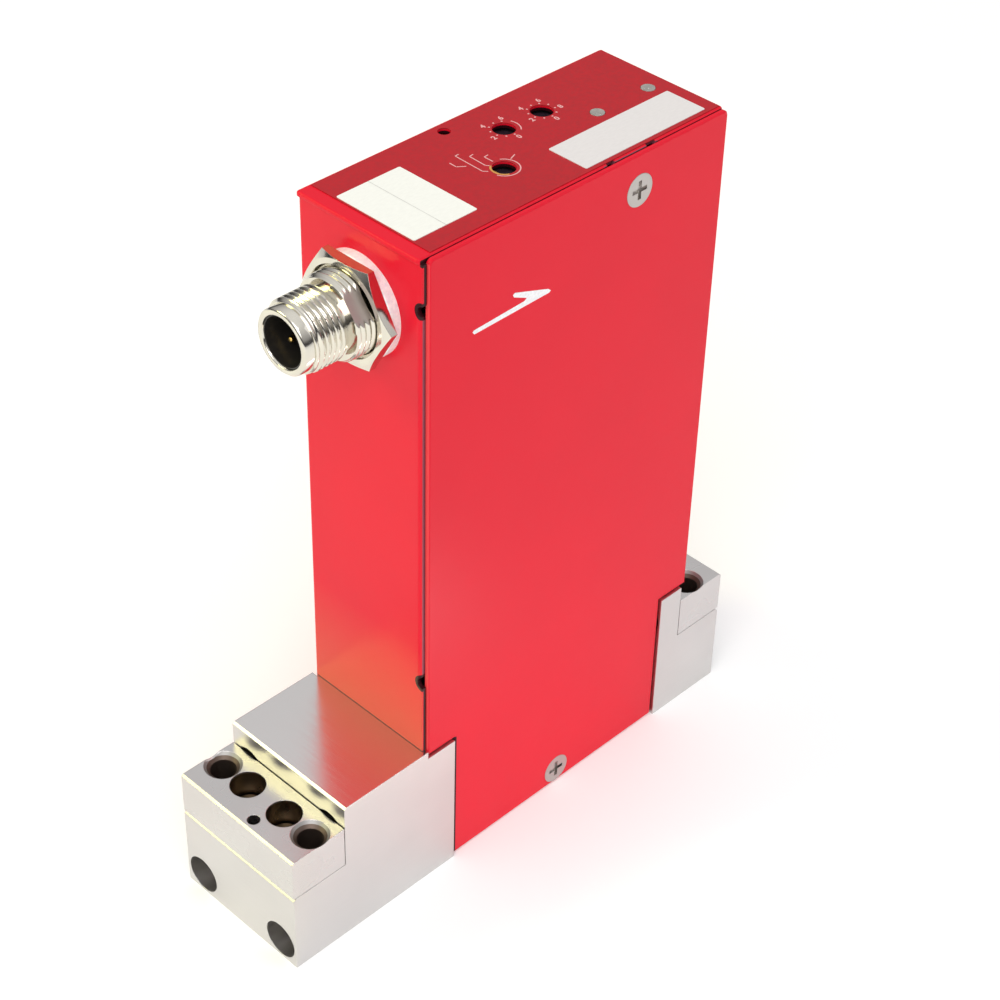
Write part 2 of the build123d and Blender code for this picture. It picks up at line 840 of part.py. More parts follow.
top_length = top_board_x[1] - top_board_x[0]
top_width = top_board_y[1] - top_board_y[0]
standoff_points = [
    (x, y)
    for x in (top_board_x[0] + standoff_inset, top_board_x[1] - standoff_inset)
    for y in (top_board_y[0] + standoff_inset, top_board_y[1] - standoff_inset)
]
with BuildPart() as top_board:
    with BuildSketch(upward(sum(top_board_x) / 2, sum(top_board_y) / 2, top_board_bottom)):
        RectangleRounded(top_length, top_width, board_corner)
    extrude(amount=board_thickness)
    for x, y in standoff_points:
        with Locations(upward(x, y, top_board_top).location):
            Hole(m2 / 2 + 2 * thread_clearance, board_thickness)
save(top_board.part, "top_board")

with BuildPart() as standoffs:
    with BuildSketch(Plane.XY.offset(top_board_top)):
        with Locations(*standoff_points):
            Circle(standoff_diameter / 2)
            Circle(m2 / 2 + thread_clearance, mode=Mode.SUBTRACT)
    extrude(amount=top_board_drop)
save(standoffs.part, "standoffs")

top_board_screws = group_at(
    cap_screw(m2, board_thickness + top_board_drop - screw_tip_gap),
    [downward(x, y, top_board_bottom) for x, y in standoff_points],
)
save(top_board_screws, "top_board_screws")

# ---- Rotary switches: bodies on the top board, each with a turning rotor held under its roof
roof_bottom = switch_top - rotor_flange_height
with BuildPart() as switch_bodies:
    with BuildSketch(Plane.XY.offset(top_board_top)):
        with Locations(*switch_points):
            Rectangle(switch_size, switch_size)
    extrude(amount=switch_height)
    chamfer(switch_bodies.faces().filter_by(Axis.Z).sort_by(Axis.Z)[-3:].edges(), switch_chamfer)
    for x, y in switch_points:
        with Locations(downward(x, y, top_board_top).location):
            CounterBoreHole(
                rotor_diameter / 2 + rotor_clearance,
                rotor_flange / 2 + rotor_clearance,
                switch_height - rotor_flange_height,
                switch_height,
            )
save(switch_bodies.part, "switch_bodies")

for number, (x, y) in enumerate(switch_points, start=1):
    with BuildPart() as rotor:
        with BuildSketch(upward(x, y, top_board_top + rotor_clearance)):
            Circle(rotor_flange / 2)
        extrude(amount=roof_bottom - top_board_top - 2 * rotor_clearance)
        with BuildSketch(upward(x, y, top_board_top + rotor_clearance)):
            Circle(rotor_diameter / 2)
        extrude(amount=rotor_top - top_board_top - rotor_clearance)
        with BuildSketch(upward(x, y, rotor_top)):
            SlotOverall(rotor_slot_length, rotor_slot_width)
        extrude(amount=-rotor_slot_depth, mode=Mode.SUBTRACT)
    save(rotor.part, f"switch_rotor_{number}")

# ---- Zero switch: body and sprung plunger under its opening
zero_body_x, zero_body_y, zero_body_z = zero_body
zero_roof_z = top_board_top + zero_body_z - zero_roof
with BuildPart() as zero_switch_body:
    with BuildSketch(upward(zero_x, zero_y, top_board_top)):
        Rectangle(zero_body_x, zero_body_y)
    extrude(amount=zero_body_z)
    with Locations(downward(zero_x, zero_y, top_board_top).location):
        CounterBoreHole(
            zero_plunger_diameter / 2 + rotor_clearance,
            zero_flange / 2 + rotor_clearance,
            zero_body_z - zero_roof,
            zero_body_z,
        )
save(zero_switch_body.part, "zero_switch_body")

with BuildPart() as zero_plunger:
    with BuildSketch(upward(zero_x, zero_y, zero_roof_z - rotor_clearance)):
        Circle(zero_flange / 2)
    extrude(amount=-zero_flange_height)
    with BuildSketch(upward(zero_x, zero_y, zero_roof_z - rotor_clearance)):
        Circle(zero_plunger_diameter / 2)
    extrude(amount=case_top - zero_plunger_drop - zero_roof_z + rotor_clearance)
    fillet(zero_plunger.edges().group_by(Axis.Z)[-1], zero_plunger_round)
save(zero_plunger.part, "zero_plunger")

# ---- Status lights and the clear lenses over them
with BuildPart() as status_leds:
    with BuildSketch(Plane.XY.offset(top_board_top)):
        with Locations(*[(x, led_y) for x in led_x]):
            Rectangle(led_length, led_width)
    extrude(amount=led_height)
save(status_leds.part, "status_leds")

with BuildPart() as led_lenses:
    with BuildSketch(Plane.XY.offset(top_board_top + led_height + fit_clearance)):
        with Locations(*[(x, led_y) for x in led_x]):
            Circle(lens_diameter / 2)
    extrude(amount=overlay_top + lens_proud - top_board_top - led_height - fit_clearance)
    with BuildSketch(Plane.XY.offset(case_under)):
        with Locations(*[(x, led_y) for x in led_x]):
            Circle(lens_flange / 2)
    extrude(amount=-lens_flange_thickness)
    fillet(led_lenses.edges().group_by(Axis.Z)[-1], lens_proud)
save(led_lenses.part, "led_lenses")

# ---- Connector: shell, insert, contacts, gasket, washer, nut and the small board behind it
connector_axis = Axis((0, 0, connector_z), (1, 0, 0))
with BuildPart() as connector_shell:
    with BuildSketch(Plane.XZ):
        with BuildLine():
            Polyline(
                (mouth_x, connector_z + socket_bore / 2),
                (mouth_x, connector_z + nose_diameter / 2 - nose_chamfer),
                (mouth_x + nose_chamfer, connector_z + nose_diameter / 2),
                (mouth_x + nose_length, connector_z + nose_diameter / 2),
                (mouth_x + nose_length + thread_chamfer, connector_z + thread_diameter / 2),
                (mouth_x + nose_length + thread_length, connector_z + thread_diameter / 2),
                (mouth_x + nose_length + thread_length, connector_z + groove_diameter / 2),
                (thread_end_x, connector_z + groove_diameter / 2),
                (thread_end_x, connector_z + rear_thread_diameter / 2 - thread_chamfer),
                (thread_end_x + thread_chamfer, connector_z + rear_thread_diameter / 2),
                (flange_x, connector_z + rear_thread_diameter / 2),
                (flange_x, connector_z + connector_flange / 2),
                (flange_x + connector_flange_length, connector_z + connector_flange / 2),
                (flange_x + connector_flange_length, connector_z + connector_tail_diameter / 2),
                (tail_x, connector_z + connector_tail_diameter / 2),
                (tail_x, connector_z + insert_bore / 2),
                (insert_face_x + insert_collar, connector_z + insert_bore / 2),
                (insert_face_x + insert_collar, connector_z + socket_bore / 2),
                close=True,
            )
        make_face()
    revolve(axis=connector_axis)
save(connector_shell.part, "connector_shell")

contact_points = [(0.0, 0.0)]
for corner in range(4):
    arm = Vector(contact_circle / 2, 0, 0).rotate(Axis.Z, 45 + 90 * corner)
    contact_points.append((arm.X, arm.Y))

with BuildPart() as connector_insert:
    with BuildSketch(facing_x(insert_face_x, 0, connector_z, 1)):
        Circle(socket_bore / 2 - fit_clearance)
    extrude(amount=insert_collar)
    with BuildSketch(facing_x(insert_face_x + insert_collar, 0, connector_z, 1)):
        Circle(insert_bore / 2 - fit_clearance)
    extrude(amount=connector_board_x - insert_face_x - insert_collar)
    key_z = connector_z + socket_bore / 2 - key_bore_gap - key_height / 2
    with BuildSketch(facing_x(insert_face_x, 0, key_z, -1)):
        Rectangle(key_width, key_height)
    extrude(amount=insert_depth - key_mouth_gap)
    # thin liner of the socket's wall
    with BuildSketch(facing_x(insert_face_x, 0, connector_z, -1)):
        Circle(socket_bore / 2 - fit_clearance)
        Circle(socket_bore / 2 - fit_clearance - liner_thickness, mode=Mode.SUBTRACT)
    extrude(amount=insert_depth - liner_mouth_gap)
    with BuildSketch(facing_x(insert_face_x, 0, connector_z, 1)):
        with Locations(*contact_points):
            Circle(contact_diameter / 2 + fit_clearance)
    extrude(amount=connector_board_x - insert_face_x, mode=Mode.SUBTRACT)
save(connector_insert.part, "connector_insert")

contact_tip_x = mouth_x + contact_recess
contact_end_x = connector_board_x + contact_tail
with BuildPart() as connector_contacts:
    with BuildSketch(facing_x(contact_tip_x, 0, connector_z, 1)):
        with Locations(*contact_points):
            Circle(contact_diameter / 2)
    extrude(amount=contact_end_x - contact_tip_x)
    fillet(connector_contacts.edges().group_by(Axis.X)[0], contact_tip_round)
save(connector_contacts.part, "connector_contacts")

with BuildPart() as connector_gasket:
    with BuildSketch(facing_x(shell_inner_x, 0, connector_z, 1)):
        Circle(connector_flange / 2)
        Circle(rear_thread_diameter / 2 + thread_clearance, mode=Mode.SUBTRACT)
    extrude(amount=gasket_thickness)
save(connector_gasket.part, "connector_gasket")

with BuildPart() as connector_washer:
    with BuildSketch(facing_x(case_inlet_x, 0, connector_z, -1)):
        Circle(washer_diameter / 2)
        Circle(rear_thread_diameter / 2 + thread_clearance, mode=Mode.SUBTRACT)
    extrude(amount=washer_thickness)
    chamfer(connector_washer.edges().group_by(Axis.X)[0], washer_chamfer)
save(connector_washer.part, "connector_washer")

nut_corner = nut_flats / sqrt(3)
nut_rim = nut_corner + nut_corner_room
nut_slope = (nut_corner - nut_flats / 2) * nut_corner_share
with BuildPart() as connector_nut:
    with BuildSketch(facing_x(nut_outer_x + nut_thickness, 0, connector_z, -1)):
        RegularPolygon(nut_flats / 2, 6, major_radius=False)
        Circle(rear_thread_diameter / 2 + thread_clearance, mode=Mode.SUBTRACT)
    extrude(amount=nut_thickness)
    chamfer(
        connector_nut.edges().group_by(Axis.X)[0].filter_by(GeomType.CIRCLE),
        (nut_relief - rear_thread_diameter) / 2 - thread_clearance,
    )
    with BuildSketch(Plane.XZ):
        with BuildLine():
            Polyline(
                (nut_outer_x, connector_z),
                (nut_outer_x, connector_z + nut_flats / 2),
                (nut_outer_x + nut_slope, connector_z + nut_rim),
                (nut_outer_x + nut_thickness, connector_z + nut_rim),
                (nut_outer_x + nut_thickness, connector_z),
                close=True,
            )
        make_face()
    revolve(axis=connector_axis, mode=Mode.INTERSECT)
save(connector_nut.part, "connector_nut")

with BuildPart() as connector_board:
    with BuildSketch(facing_x(connector_board_x, 0, connector_z, 1)):
        with Locations(((connector_board_near_y + main_board_front) / 2, 0)):
            Rectangle(main_board_front - connector_board_near_y, connector_board_height)
        with Locations(*contact_points):
            Circle(contact_diameter / 2 + fit_clearance, mode=Mode.SUBTRACT)
    extrude(amount=connector_board_thickness)
save(connector_board.part, "connector_board")

with BuildPart() as connector_header:
    with BuildSketch(facing_x(connector_board_x + connector_board_thickness, 0, connector_z, 1)):
        with Locations((main_board_front - header_depth / 2, 0)):
            Rectangle(header_depth, connector_board_height - 2 * connector_header_inset)
    extrude(amount=header_height)
save(connector_header.part, "connector_header")

# ---- Case shell: top, two ends and rear wall of one sheet, folded and welded
top_openings = [(x, y, switch_opening) for x, y in switch_points]
top_openings += [(zero_x, zero_y, zero_opening)]
top_openings += [(x, led_y, lens_diameter + 2 * fit_clearance) for x in led_x]
rear_y = case_half_width + rear_lip
with BuildPart() as case_shell:
    # rear wall with its tongue
    wall_outline = side_outline(case_inlet_x, case_outlet_x, case_under, tongue_bottom)
    extrude(wall_outline.moved(Location((0, case_half_width, 0))), amount=case_sheet)
    # inlet wall and outlet wall
    with BuildSketch(Plane.XY.offset(base_height)):
        with Locations((case_inlet_x, shell_near_y)):
            Rectangle(case_sheet, case_half_width - shell_near_y, align=(Align.MIN, Align.MIN))
        with Locations((case_outlet_x, flange_near_y)):
            Rectangle(case_sheet, case_half_width - flange_near_y, align=(Align.MAX, Align.MIN))
    extrude(amount=case_height - case_sheet)
    fillet(edges_at(case_shell, Axis.Z, x=case_inlet_x, y=case_half_width), case_bend)
    fillet(edges_at(case_shell, Axis.Z, x=case_outlet_x, y=case_half_width), case_bend)
    # inlet wall cut back to its fold, then the folded flange behind the panel
    fold_height = fold_high_height - fold_low_height
    fold_middle = (fold_high_height + fold_low_height) / 2
    with BuildSketch(facing_x(case_inlet_x, shell_near_y, fold_middle, 1)):
        Rectangle((flange_near_y - shell_near_y) * 2, fold_height)
    extrude(amount=case_sheet, mode=Mode.SUBTRACT)
    with BuildSketch(upward(case_inlet_x, flange_near_y, fold_low_height + relief_radius)):
        Rectangle(fold_width + case_sheet, case_sheet, align=(Align.MIN, Align.MIN))
    extrude(amount=fold_height - 2 * relief_radius)
    fillet(edges_at(case_shell, Axis.Z, x=case_inlet_x, y=flange_near_y, z=fold_middle), case_bend)
    with BuildSketch(facing_x(case_inlet_x, shell_near_y, 0, 1)):
        with Locations((0, fold_low_height), (0, fold_high_height)):
            Circle(relief_radius)
    extrude(amount=case_sheet, mode=Mode.SUBTRACT)
    # top, standing a little proud of the walls
    with BuildSketch(Plane.XY.offset(case_under)) as top_sheet:
        with Locations((case_inlet_x - top_lip, top_near_y)):
            Rectangle(
                case_outlet_x - case_inlet_x + top_lip, rear_y - top_near_y, align=(Align.MIN, Align.MIN)
            )
        fillet(top_sheet.vertices(), top_corner)
    extrude(amount=case_sheet)
    fillet(edges_at(case_shell, Axis.Y, x=case_inlet_x - top_lip, z=case_top), case_sheet / 2)
    # notches either side of the screw tab, and the tab
    with BuildSketch(Plane.XY.offset(case_under)):
        with Locations((tab_inlet_x - tab_notch_inlet, top_near_y)):
            Rectangle(tab_notch_inlet, tab_notch_depth, align=(Align.MIN, Align.MIN))
        with Locations((tab_outlet_x, top_near_y)):
            Rectangle(tab_notch_outlet, tab_notch_depth, align=(Align.MIN, Align.MIN))
    extrude(amount=case_sheet, mode=Mode.SUBTRACT)
    with BuildSketch(Plane.XY.offset(case_under)):
        with Locations((tab_inlet_x, top_near_y)):
            Rectangle(tab_outlet_x - tab_inlet_x, case_sheet, align=(Align.MIN, Align.MIN))
    extrude(amount=-tab_length)
    # openings in the top
    for x, y, diameter in top_openings:
        with Locations(upward(x, y, case_top).location):
            Hole(diameter / 2, case_sheet)
    # hole for the connector
    with Locations(facing_x(case_inlet_x, 0, connector_z, -1).location):
        Hole(rear_thread_diameter / 2 + thread_clearance, case_sheet)
    # screw hole in the tab, and the rear tongue's screw seat
    with Locations(facing_y(panel_screw_high_x, top_near_y, case_top - panel_screw_drop, -1).location):
        Hole(m3 / 2 + thread_clearance, case_sheet)
    with Locations(facing_y(panel_screw_low_x, case_half_width, panel_screw_low_height, 1).location):
        CounterSinkHole(
            m3 / 2 + thread_clearance, panel_head_diameter / 2 + fit_clearance, case_sheet, countersink_angle
        )
save(case_shell.part, "case_shell")

# ---- Side panel: flat sheet with a tongue into the block's recess
panel_top = case_top - panel_drop
panel_screw_places = [
    (panel_screw_high_x, case_top - panel_screw_drop),
    (panel_screw_low_x, panel_screw_low_height),
]
with BuildPart() as side_panel:
    panel_outline = side_outline(panel_inlet_x, panel_outlet_x, panel_top, tongue_bottom)
    extrude(panel_outline.moved(Location((0, -cover_inner_y, 0))), amount=panel_sheet)
    for x in (panel_inlet_x, panel_outlet_x):
        fillet(edges_at(side_panel, Axis.Y, x=x, z=panel_top), panel_corner)
    chamfer(side_panel.faces().sort_by(Axis.Y)[0].edges(), panel_edge)
    for x, z in panel_screw_places:
        with BuildSketch(facing_y(x, -case_half_width, z, -1)):
            Circle(panel_head_diameter / 2 + fit_clearance)
        with BuildSketch(facing_y(x, -cover_inner_y, z, -1)):
            Circle(panel_head_foot / 2 + fit_clearance)
        loft(mode=Mode.SUBTRACT)
save(side_panel.part, "side_panel")

with BuildPart() as panel_screws:
    with Locations(facing_y(panel_screw_high_x, -case_half_width, case_top - panel_screw_drop, -1).location):
        add(flat_screw(panel_screw_short))
    with Locations(facing_y(panel_screw_low_x, -case_half_width, panel_screw_low_height, -1).location):
        add(flat_screw(panel_screw_length))
save(panel_screws.part, "panel_screws")

shell_screw = group_at(
    flat_screw(panel_screw_length),
    [facing_y(panel_screw_low_x, case_half_width, panel_screw_low_height, 1)],
)
save(shell_screw, "shell_screw")

# ---- Printed overlay and the two blank labels on the top
with BuildPart() as top_overlay:
    with BuildSketch(Plane.XY.offset(case_top)):
        with Locations((overlay_inlet_x, top_near_y + overlay_edge_gap)):
            Rectangle(
                case_outlet_x - overlay_edge_gap - overlay_inlet_x,
                case_half_width - top_near_y - 2 * overlay_edge_gap,
                align=(Align.MIN, Align.MIN),
            )
        for x, y, diameter in top_openings:
            with Locations((x, y)):
                Circle(diameter / 2, mode=Mode.SUBTRACT)
    extrude(amount=overlay_thickness)
save(top_overlay.part, "top_overlay")

for name, across_x, across_y in (("white_label", label_x, label_y), ("id_sticker", sticker_x, sticker_y)):
    with BuildPart() as label_sheet:
        with BuildSketch(Plane.XY.offset(overlay_top)):
            with Locations((sum(across_x) / 2, sum(across_y) / 2)):
                RectangleRounded(across_x[1] - across_x[0], across_y[1] - across_y[0], label_corner)
        extrude(amount=label_thickness)
    save(label_sheet.part, name)
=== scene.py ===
import math
import bmesh
import bpy
from bpy.props import FloatProperty, FloatVectorProperty, PointerProperty
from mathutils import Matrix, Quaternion, Vector


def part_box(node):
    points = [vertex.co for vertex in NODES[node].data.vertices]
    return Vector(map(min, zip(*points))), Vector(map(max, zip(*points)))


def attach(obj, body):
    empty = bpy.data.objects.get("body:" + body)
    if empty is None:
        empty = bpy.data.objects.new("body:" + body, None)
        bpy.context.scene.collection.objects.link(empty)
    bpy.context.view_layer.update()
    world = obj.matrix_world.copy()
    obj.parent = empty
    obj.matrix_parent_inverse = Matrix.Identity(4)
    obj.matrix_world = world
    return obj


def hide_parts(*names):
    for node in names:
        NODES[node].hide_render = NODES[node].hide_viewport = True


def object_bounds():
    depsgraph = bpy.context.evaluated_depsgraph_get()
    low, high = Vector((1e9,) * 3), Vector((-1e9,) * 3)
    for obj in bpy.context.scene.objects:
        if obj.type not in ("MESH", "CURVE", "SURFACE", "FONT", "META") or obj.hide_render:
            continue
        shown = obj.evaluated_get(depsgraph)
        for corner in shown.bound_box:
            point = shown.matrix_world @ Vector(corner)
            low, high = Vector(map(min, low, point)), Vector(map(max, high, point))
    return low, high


bl_info = {
    "name": "Mass flow controller looks",
    "version": (1, 0, 0),
    "blender": (4, 5, 0),
    "location": "3D View > Sidebar > Flow controller",
    "description": "Finishes, threads, printed marks and a studio for a mass flow controller",
    "category": "Object",
}

# The fixed frame. All places are in metres, with +X along the flow and +Z up.
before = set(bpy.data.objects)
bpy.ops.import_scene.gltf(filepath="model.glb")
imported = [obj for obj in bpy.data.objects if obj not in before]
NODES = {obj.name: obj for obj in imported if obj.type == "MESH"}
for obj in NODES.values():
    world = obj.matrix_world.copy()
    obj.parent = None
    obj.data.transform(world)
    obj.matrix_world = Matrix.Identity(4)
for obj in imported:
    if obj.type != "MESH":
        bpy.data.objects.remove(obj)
CAD_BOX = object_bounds()
MM = 0.001
UP = Vector((0, 0, 1))
PRINT_HEIGHT = 0.02 * MM

# Further out than any face of the object, for masks that are open to one side
FAR = 1.0

# Folds of the shell beside the panel: the heights and the radius of their reliefs
FOLD_LOW = 44.6 * MM
FOLD_HIGH = 116.6 * MM
RELIEF = 1.1 * MM

# Notch of the shell above the panel, and the edge towards the inlet of the panel's tongue
NOTCH_SPAN = (15.0 * MM, 27.0 * MM)
TONGUE_X = -15.9 * MM

# Radii within which the shell under the top's openings gets painted shade
ROTOR_OPENING = 2.3 * MM
BUTTON_OPENING = 1.4 * MM

# Key flat on the connector's rear thread: its direction from Y towards Z, and its distance from the axis
FLAT_ANGLE = math.radians(142.0)
FLAT_DISTANCE = 6.30 * MM

# Holes of the end plates, as distances from the block's middle, and how far out sideways they are shaded
PLATE_HOLE_X = 46.0 * MM
MOUNT_HOLE_Y = 11.0 * MM
SCREW_HOLE_Y = 4.6 * MM
PLATE_SIDE = 13.75 * MM

# The two numbered dials: how many positions each has, clockwise from the lowest, and the step between them
DIAL_POSITIONS = {1: 10, 2: 7}
DIAL_STEP = math.radians(36)

# Tones of the places that differ from the rest of a finish. The glow is painted light, the bare tone holds
# a painted reflection, the lighter panel edge is partly a painted highlight, and the gap, hole, bore and
# seam tones are painted shade
GLOW_TONE = (0.74, 0.085, 0.05)
BARE_METAL_WITH_REFLECTION_TONE = (0.26, 0.07, 0.10)
WORN_AND_HIGHLIGHT_TONE = (0.80, 0.05, 0.06)
PAINTED_SHADE_TONE = (0.03, 0.003, 0.006)
HOLE_SHADE_TONE = (0.16, 0.12, 0.10)
BORE_SHADE_TONE = (0.40, 0.32, 0.23)
SEAM_SHADE_TONE = (0.10, 0.09, 0.09)
KEY_FLAT_TONE = (0.47, 0.42, 0.40)
TAN_TONE = (0.62, 0.33, 0.09)

BLOCK_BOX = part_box("base_block")
CASE_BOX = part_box("case_shell")
PANEL_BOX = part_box("side_panel")
OVERLAY_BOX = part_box("top_overlay")
STICKER_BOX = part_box("id_sticker")
LEDGE_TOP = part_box("inlet_plate")[0].z
PLATE_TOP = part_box("inlet_plate")[1].z
CONNECTOR_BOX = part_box("connector_shell")
NUT_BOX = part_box("connector_nut")
INSERT_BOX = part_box("connector_insert")


def middle(box):
    """Centre of a box given by its lowest and highest corners."""
    return (Vector(box[0]) + Vector(box[1])) / 2


# ---- Sizes and colours that a user would change


class CaseSettings(bpy.types.PropertyGroup):
    paint_colour: FloatVectorProperty(
        name="Paint",
        description="Colour of the satin paint on the shell and the side panel",
        subtype="COLOR",
        size=3,
        min=0.0,
        max=1.0,
        default=(0.74, 0.005, 0.024),
    )
    overlay_colour: FloatVectorProperty(
        name="Overlay",
        description="Colour of the printed film on the top",
        subtype="COLOR",
        size=3,
        min=0.0,
        max=1.0,
        default=(0.44, 0.010, 0.018),
    )
    paint_roughness: FloatProperty(
        name="Paint roughness",
        description="Roughness of the paint between its peaks",
        subtype="FACTOR",
        min=0.0,
        max=1.0,
        default=0.34,
    )
    bare_strip_width: FloatProperty(
        name="Bare strip",
        description="How much of the folded edge beside the panel is left unpainted",
        unit="LENGTH",
        default=0.45 * MM,
    )


class SteelSettings(bpy.types.PropertyGroup):
    colour: FloatVectorProperty(
        name="Steel",
        description="Colour of the machined stainless steel",
        subtype="COLOR",
        size=3,
        min=0.0,
        max=1.0,
        default=(0.65, 0.63, 0.62),
    )
    roughness: FloatProperty(
        name="Milled roughness",
        description="Roughness of the milled faces",
        subtype="FACTOR",
        min=0.0,
        max=1.0,
        default=0.33,
    )
    polished_roughness: FloatProperty(
        name="Top roughness",
        description="Roughness of the block's polished upper face",
        subtype="FACTOR",
        min=0.0,
        max=1.0,
        default=0.20,
    )
    edge_round: FloatProperty(
        name="Edge break",
        description="Radius that light sees along the edges of the steel",
        unit="LENGTH",
        default=0.18 * MM,
    )


class ConnectorSettings(bpy.types.PropertyGroup):
    nickel_colour: FloatVectorProperty(
        name="Nickel",
        description="Colour of the connector's plating",
        subtype="COLOR",
        size=3,
        min=0.0,
        max=1.0,
        default=(0.69, 0.66, 0.585),
    )
    thread_pitch: FloatProperty(
        name="Thread pitch",
        description="Distance between the turns of both threads",
        unit="LENGTH",
        default=1.0 * MM,
    )
    thread_depth: FloatProperty(
        name="Thread depth",
        description="Depth of the front thread's grooves, which are deeper than the rear thread's",
        unit="LENGTH",
        default=0.55 * MM,
    )


class MarkSettings(bpy.types.PropertyGroup):
    print_colour: FloatVectorProperty(
        name="Dial print",
        description="Colour of the fine print round the switches",
        subtype="COLOR",
        size=3,
        min=0.0,
        max=1.0,
        default=(0.84, 0.42, 0.43),
    )
    line_width: FloatProperty(
        name="Line width",
        description="Width of the printed lines on the top",
        unit="LENGTH",
        default=0.20 * MM,
    )
    digit_height: FloatProperty(
        name="Digit height",
        description="Height of the dials' digits",
        unit="LENGTH",
        default=1.4 * MM,
    )


class StageSettings(bpy.types.PropertyGroup):
    camera_place: FloatVectorProperty(
        name="Camera place",
        description="Where the camera stands",
        subtype="TRANSLATION",
        unit="LENGTH",
        size=3,
        default=(-0.21345, -0.21350, 0.30127),
    )
    camera_aim: FloatVectorProperty(
        name="Camera aim",
        description="Direction in which the camera looks",
        subtype="DIRECTION",
        size=3,
        default=(0.5644, 0.5453, -0.6197),
    )
    camera_roll: FloatProperty(
        name="Camera roll",
        description="Turn of the camera about its own line of sight",
        subtype="ANGLE",
        default=math.radians(1.57),
    )
    focal_length: FloatProperty(
        name="Focal length",
        description="Focal length on a 36 mm wide sensor",
        subtype="DISTANCE_CAMERA",
        default=83.52,
    )
    key_power: FloatProperty(
        name="Key light",
        description="Power of the large light above the inlet end",
        subtype="POWER",
        default=7.3,
    )
    fill_power: FloatProperty(
        name="Fill light",
        description="Power of the light that faces the side panel",
        subtype="POWER",
        default=1.0,
    )
    window_power: FloatProperty(
        name="Window light",
        description="Power of the small warm light behind the inlet end",
        subtype="POWER",
        default=2.6,
    )
    card_power: FloatProperty(
        name="Low card",
        description="Power of the low strip that lifts the foot of the side panel",
        subtype="POWER",
        default=0.009,
    )


# ---- Helpers for finishes


def new_finish(name):
    """A material with its node tree and its Principled shader."""
    material = bpy.data.materials.new(name)
    material.use_nodes = True
    tree = material.node_tree
    return material, tree, tree.nodes["Principled BSDF"]


def place_of(tree):
    """Socket that gives the place on the object in the shared frame."""
    return tree.nodes.new("ShaderNodeTexCoord").outputs["Object"]


def grain(tree, scale, stretch=(1.0, 1.0, 1.0), detail=4.0):
    """Noise over the surface, with its scale in cycles per metre and stretched along the axes."""
    mapping = tree.nodes.new("ShaderNodeMapping")
    mapping.inputs["Scale"].default_value = stretch
    tree.links.new(place_of(tree), mapping.inputs["Vector"])
    noise = tree.nodes.new("ShaderNodeTexNoise")
    noise.inputs["Scale"].default_value = scale
    noise.inputs["Detail"].default_value = detail
    tree.links.new(mapping.outputs["Vector"], noise.inputs["Vector"])
    return noise.outputs["Fac"]


def tones(tree, factor, low, high, start=0.35, end=0.65):
    """Colour that goes from one tone to another with a factor."""
    ramp = tree.nodes.new("ShaderNodeValToRGB")
    ramp.color_ramp.elements[0].position = start
    ramp.color_ramp.elements[0].color = (*low, 1.0)
    ramp.color_ramp.elements[1].position = end
    ramp.color_ramp.elements[1].color = (*high, 1.0)
    tree.links.new(factor, ramp.inputs["Fac"])
    return ramp.outputs["Color"]


def spread(tree, factor, low, high, start=0.3, end=0.7):
    """Value that goes from low to high as a factor goes from start to end."""
    limits = tree.nodes.new("ShaderNodeMapRange")
    limits.inputs["From Min"].default_value = start
    limits.inputs["From Max"].default_value = end
    limits.inputs["To Min"].default_value = low
    limits.inputs["To Max"].default_value = high
    tree.links.new(factor, limits.inputs["Value"])
    return limits.outputs["Result"]


def joined(tree, operation, first, second):
    """Maths on two sockets, or on a socket and a number."""
    maths = tree.nodes.new("ShaderNodeMath")
    maths.operation = operation
    for socket, value in zip(maths.inputs, (first, second)):
        if isinstance(value, (int, float)):
            socket.default_value = value
        else:
            tree.links.new(value, socket)
    return maths.outputs["Value"]


def axis_of(tree, axis):
    """Socket that gives one coordinate of the place on the object."""
    split = tree.nodes.new("ShaderNodeSeparateXYZ")
    tree.links.new(place_of(tree), split.inputs["Vector"])
    return split.outputs[axis]


def within(tree, **limits):
    """1 inside the given ranges of x, y and z in the shared frame, and 0 outside."""
    result = None
    for axis, (low, high) in limits.items():
        value = axis_of(tree, axis.upper())
        above = joined(tree, "GREATER_THAN", value, low)
        below = joined(tree, "LESS_THAN", value, high)
        both = joined(tree, "MULTIPLY", above, below)
        result = both if result is None else joined(tree, "MULTIPLY", result, both)
    return result


def chosen(tree, factor, base, other):
    """Colour of base, and of other where the factor is 1."""
    mix = tree.nodes.new("ShaderNodeMix")
    mix.data_type = "RGBA"
    tree.links.new(factor, mix.inputs["Factor"])
    for socket, value in ((mix.inputs["A"], base), (mix.inputs["B"], other)):
        colour_socket = [s for s in mix.inputs if s.name == socket.name and s.type == "RGBA"][0]
        if isinstance(value, tuple):
            colour_socket.default_value = (*value, 1.0)
        else:
            tree.links.new(value, colour_socket)
    return [s for s in mix.outputs if s.type == "RGBA"][0]


def relief(tree, shader, height, depth, edge_round=None):
    """Bump of a real depth in metres, over edges softened by a small radius."""
    bump = tree.nodes.new("ShaderNodeBump")
    bump.inputs["Distance"].default_value = depth
    bump.inputs["Strength"].default_value = 1.0
    tree.links.new(height, bump.inputs["Height"])
    if edge_round is not None:
        tree.links.new(soft_edges(tree, edge_round), bump.inputs["Normal"])
    tree.links.new(bump.outputs["Normal"], shader.inputs["Normal"])


def soft_edges(tree, radius):
    """Normal that looks as if each edge had a small radius."""
    bevel = tree.nodes.new("ShaderNodeBevel")
    bevel.samples = 4
    bevel.inputs["Radius"].default_value = radius
    return bevel.outputs["Normal"]


def round_spot(tree, centre, axes, radius):
    """1 within a radius of a line through a centre, and 0 outside. The axes are those across the line."""
    squares = []
    for axis in axes:
        offset = joined(tree, "SUBTRACT", axis_of(tree, axis), getattr(centre, axis.lower()))
        squares.append(joined(tree, "MULTIPLY", offset, offset))
    return joined(tree, "LESS_THAN", joined(tree, "ADD", *squares), radius**2)


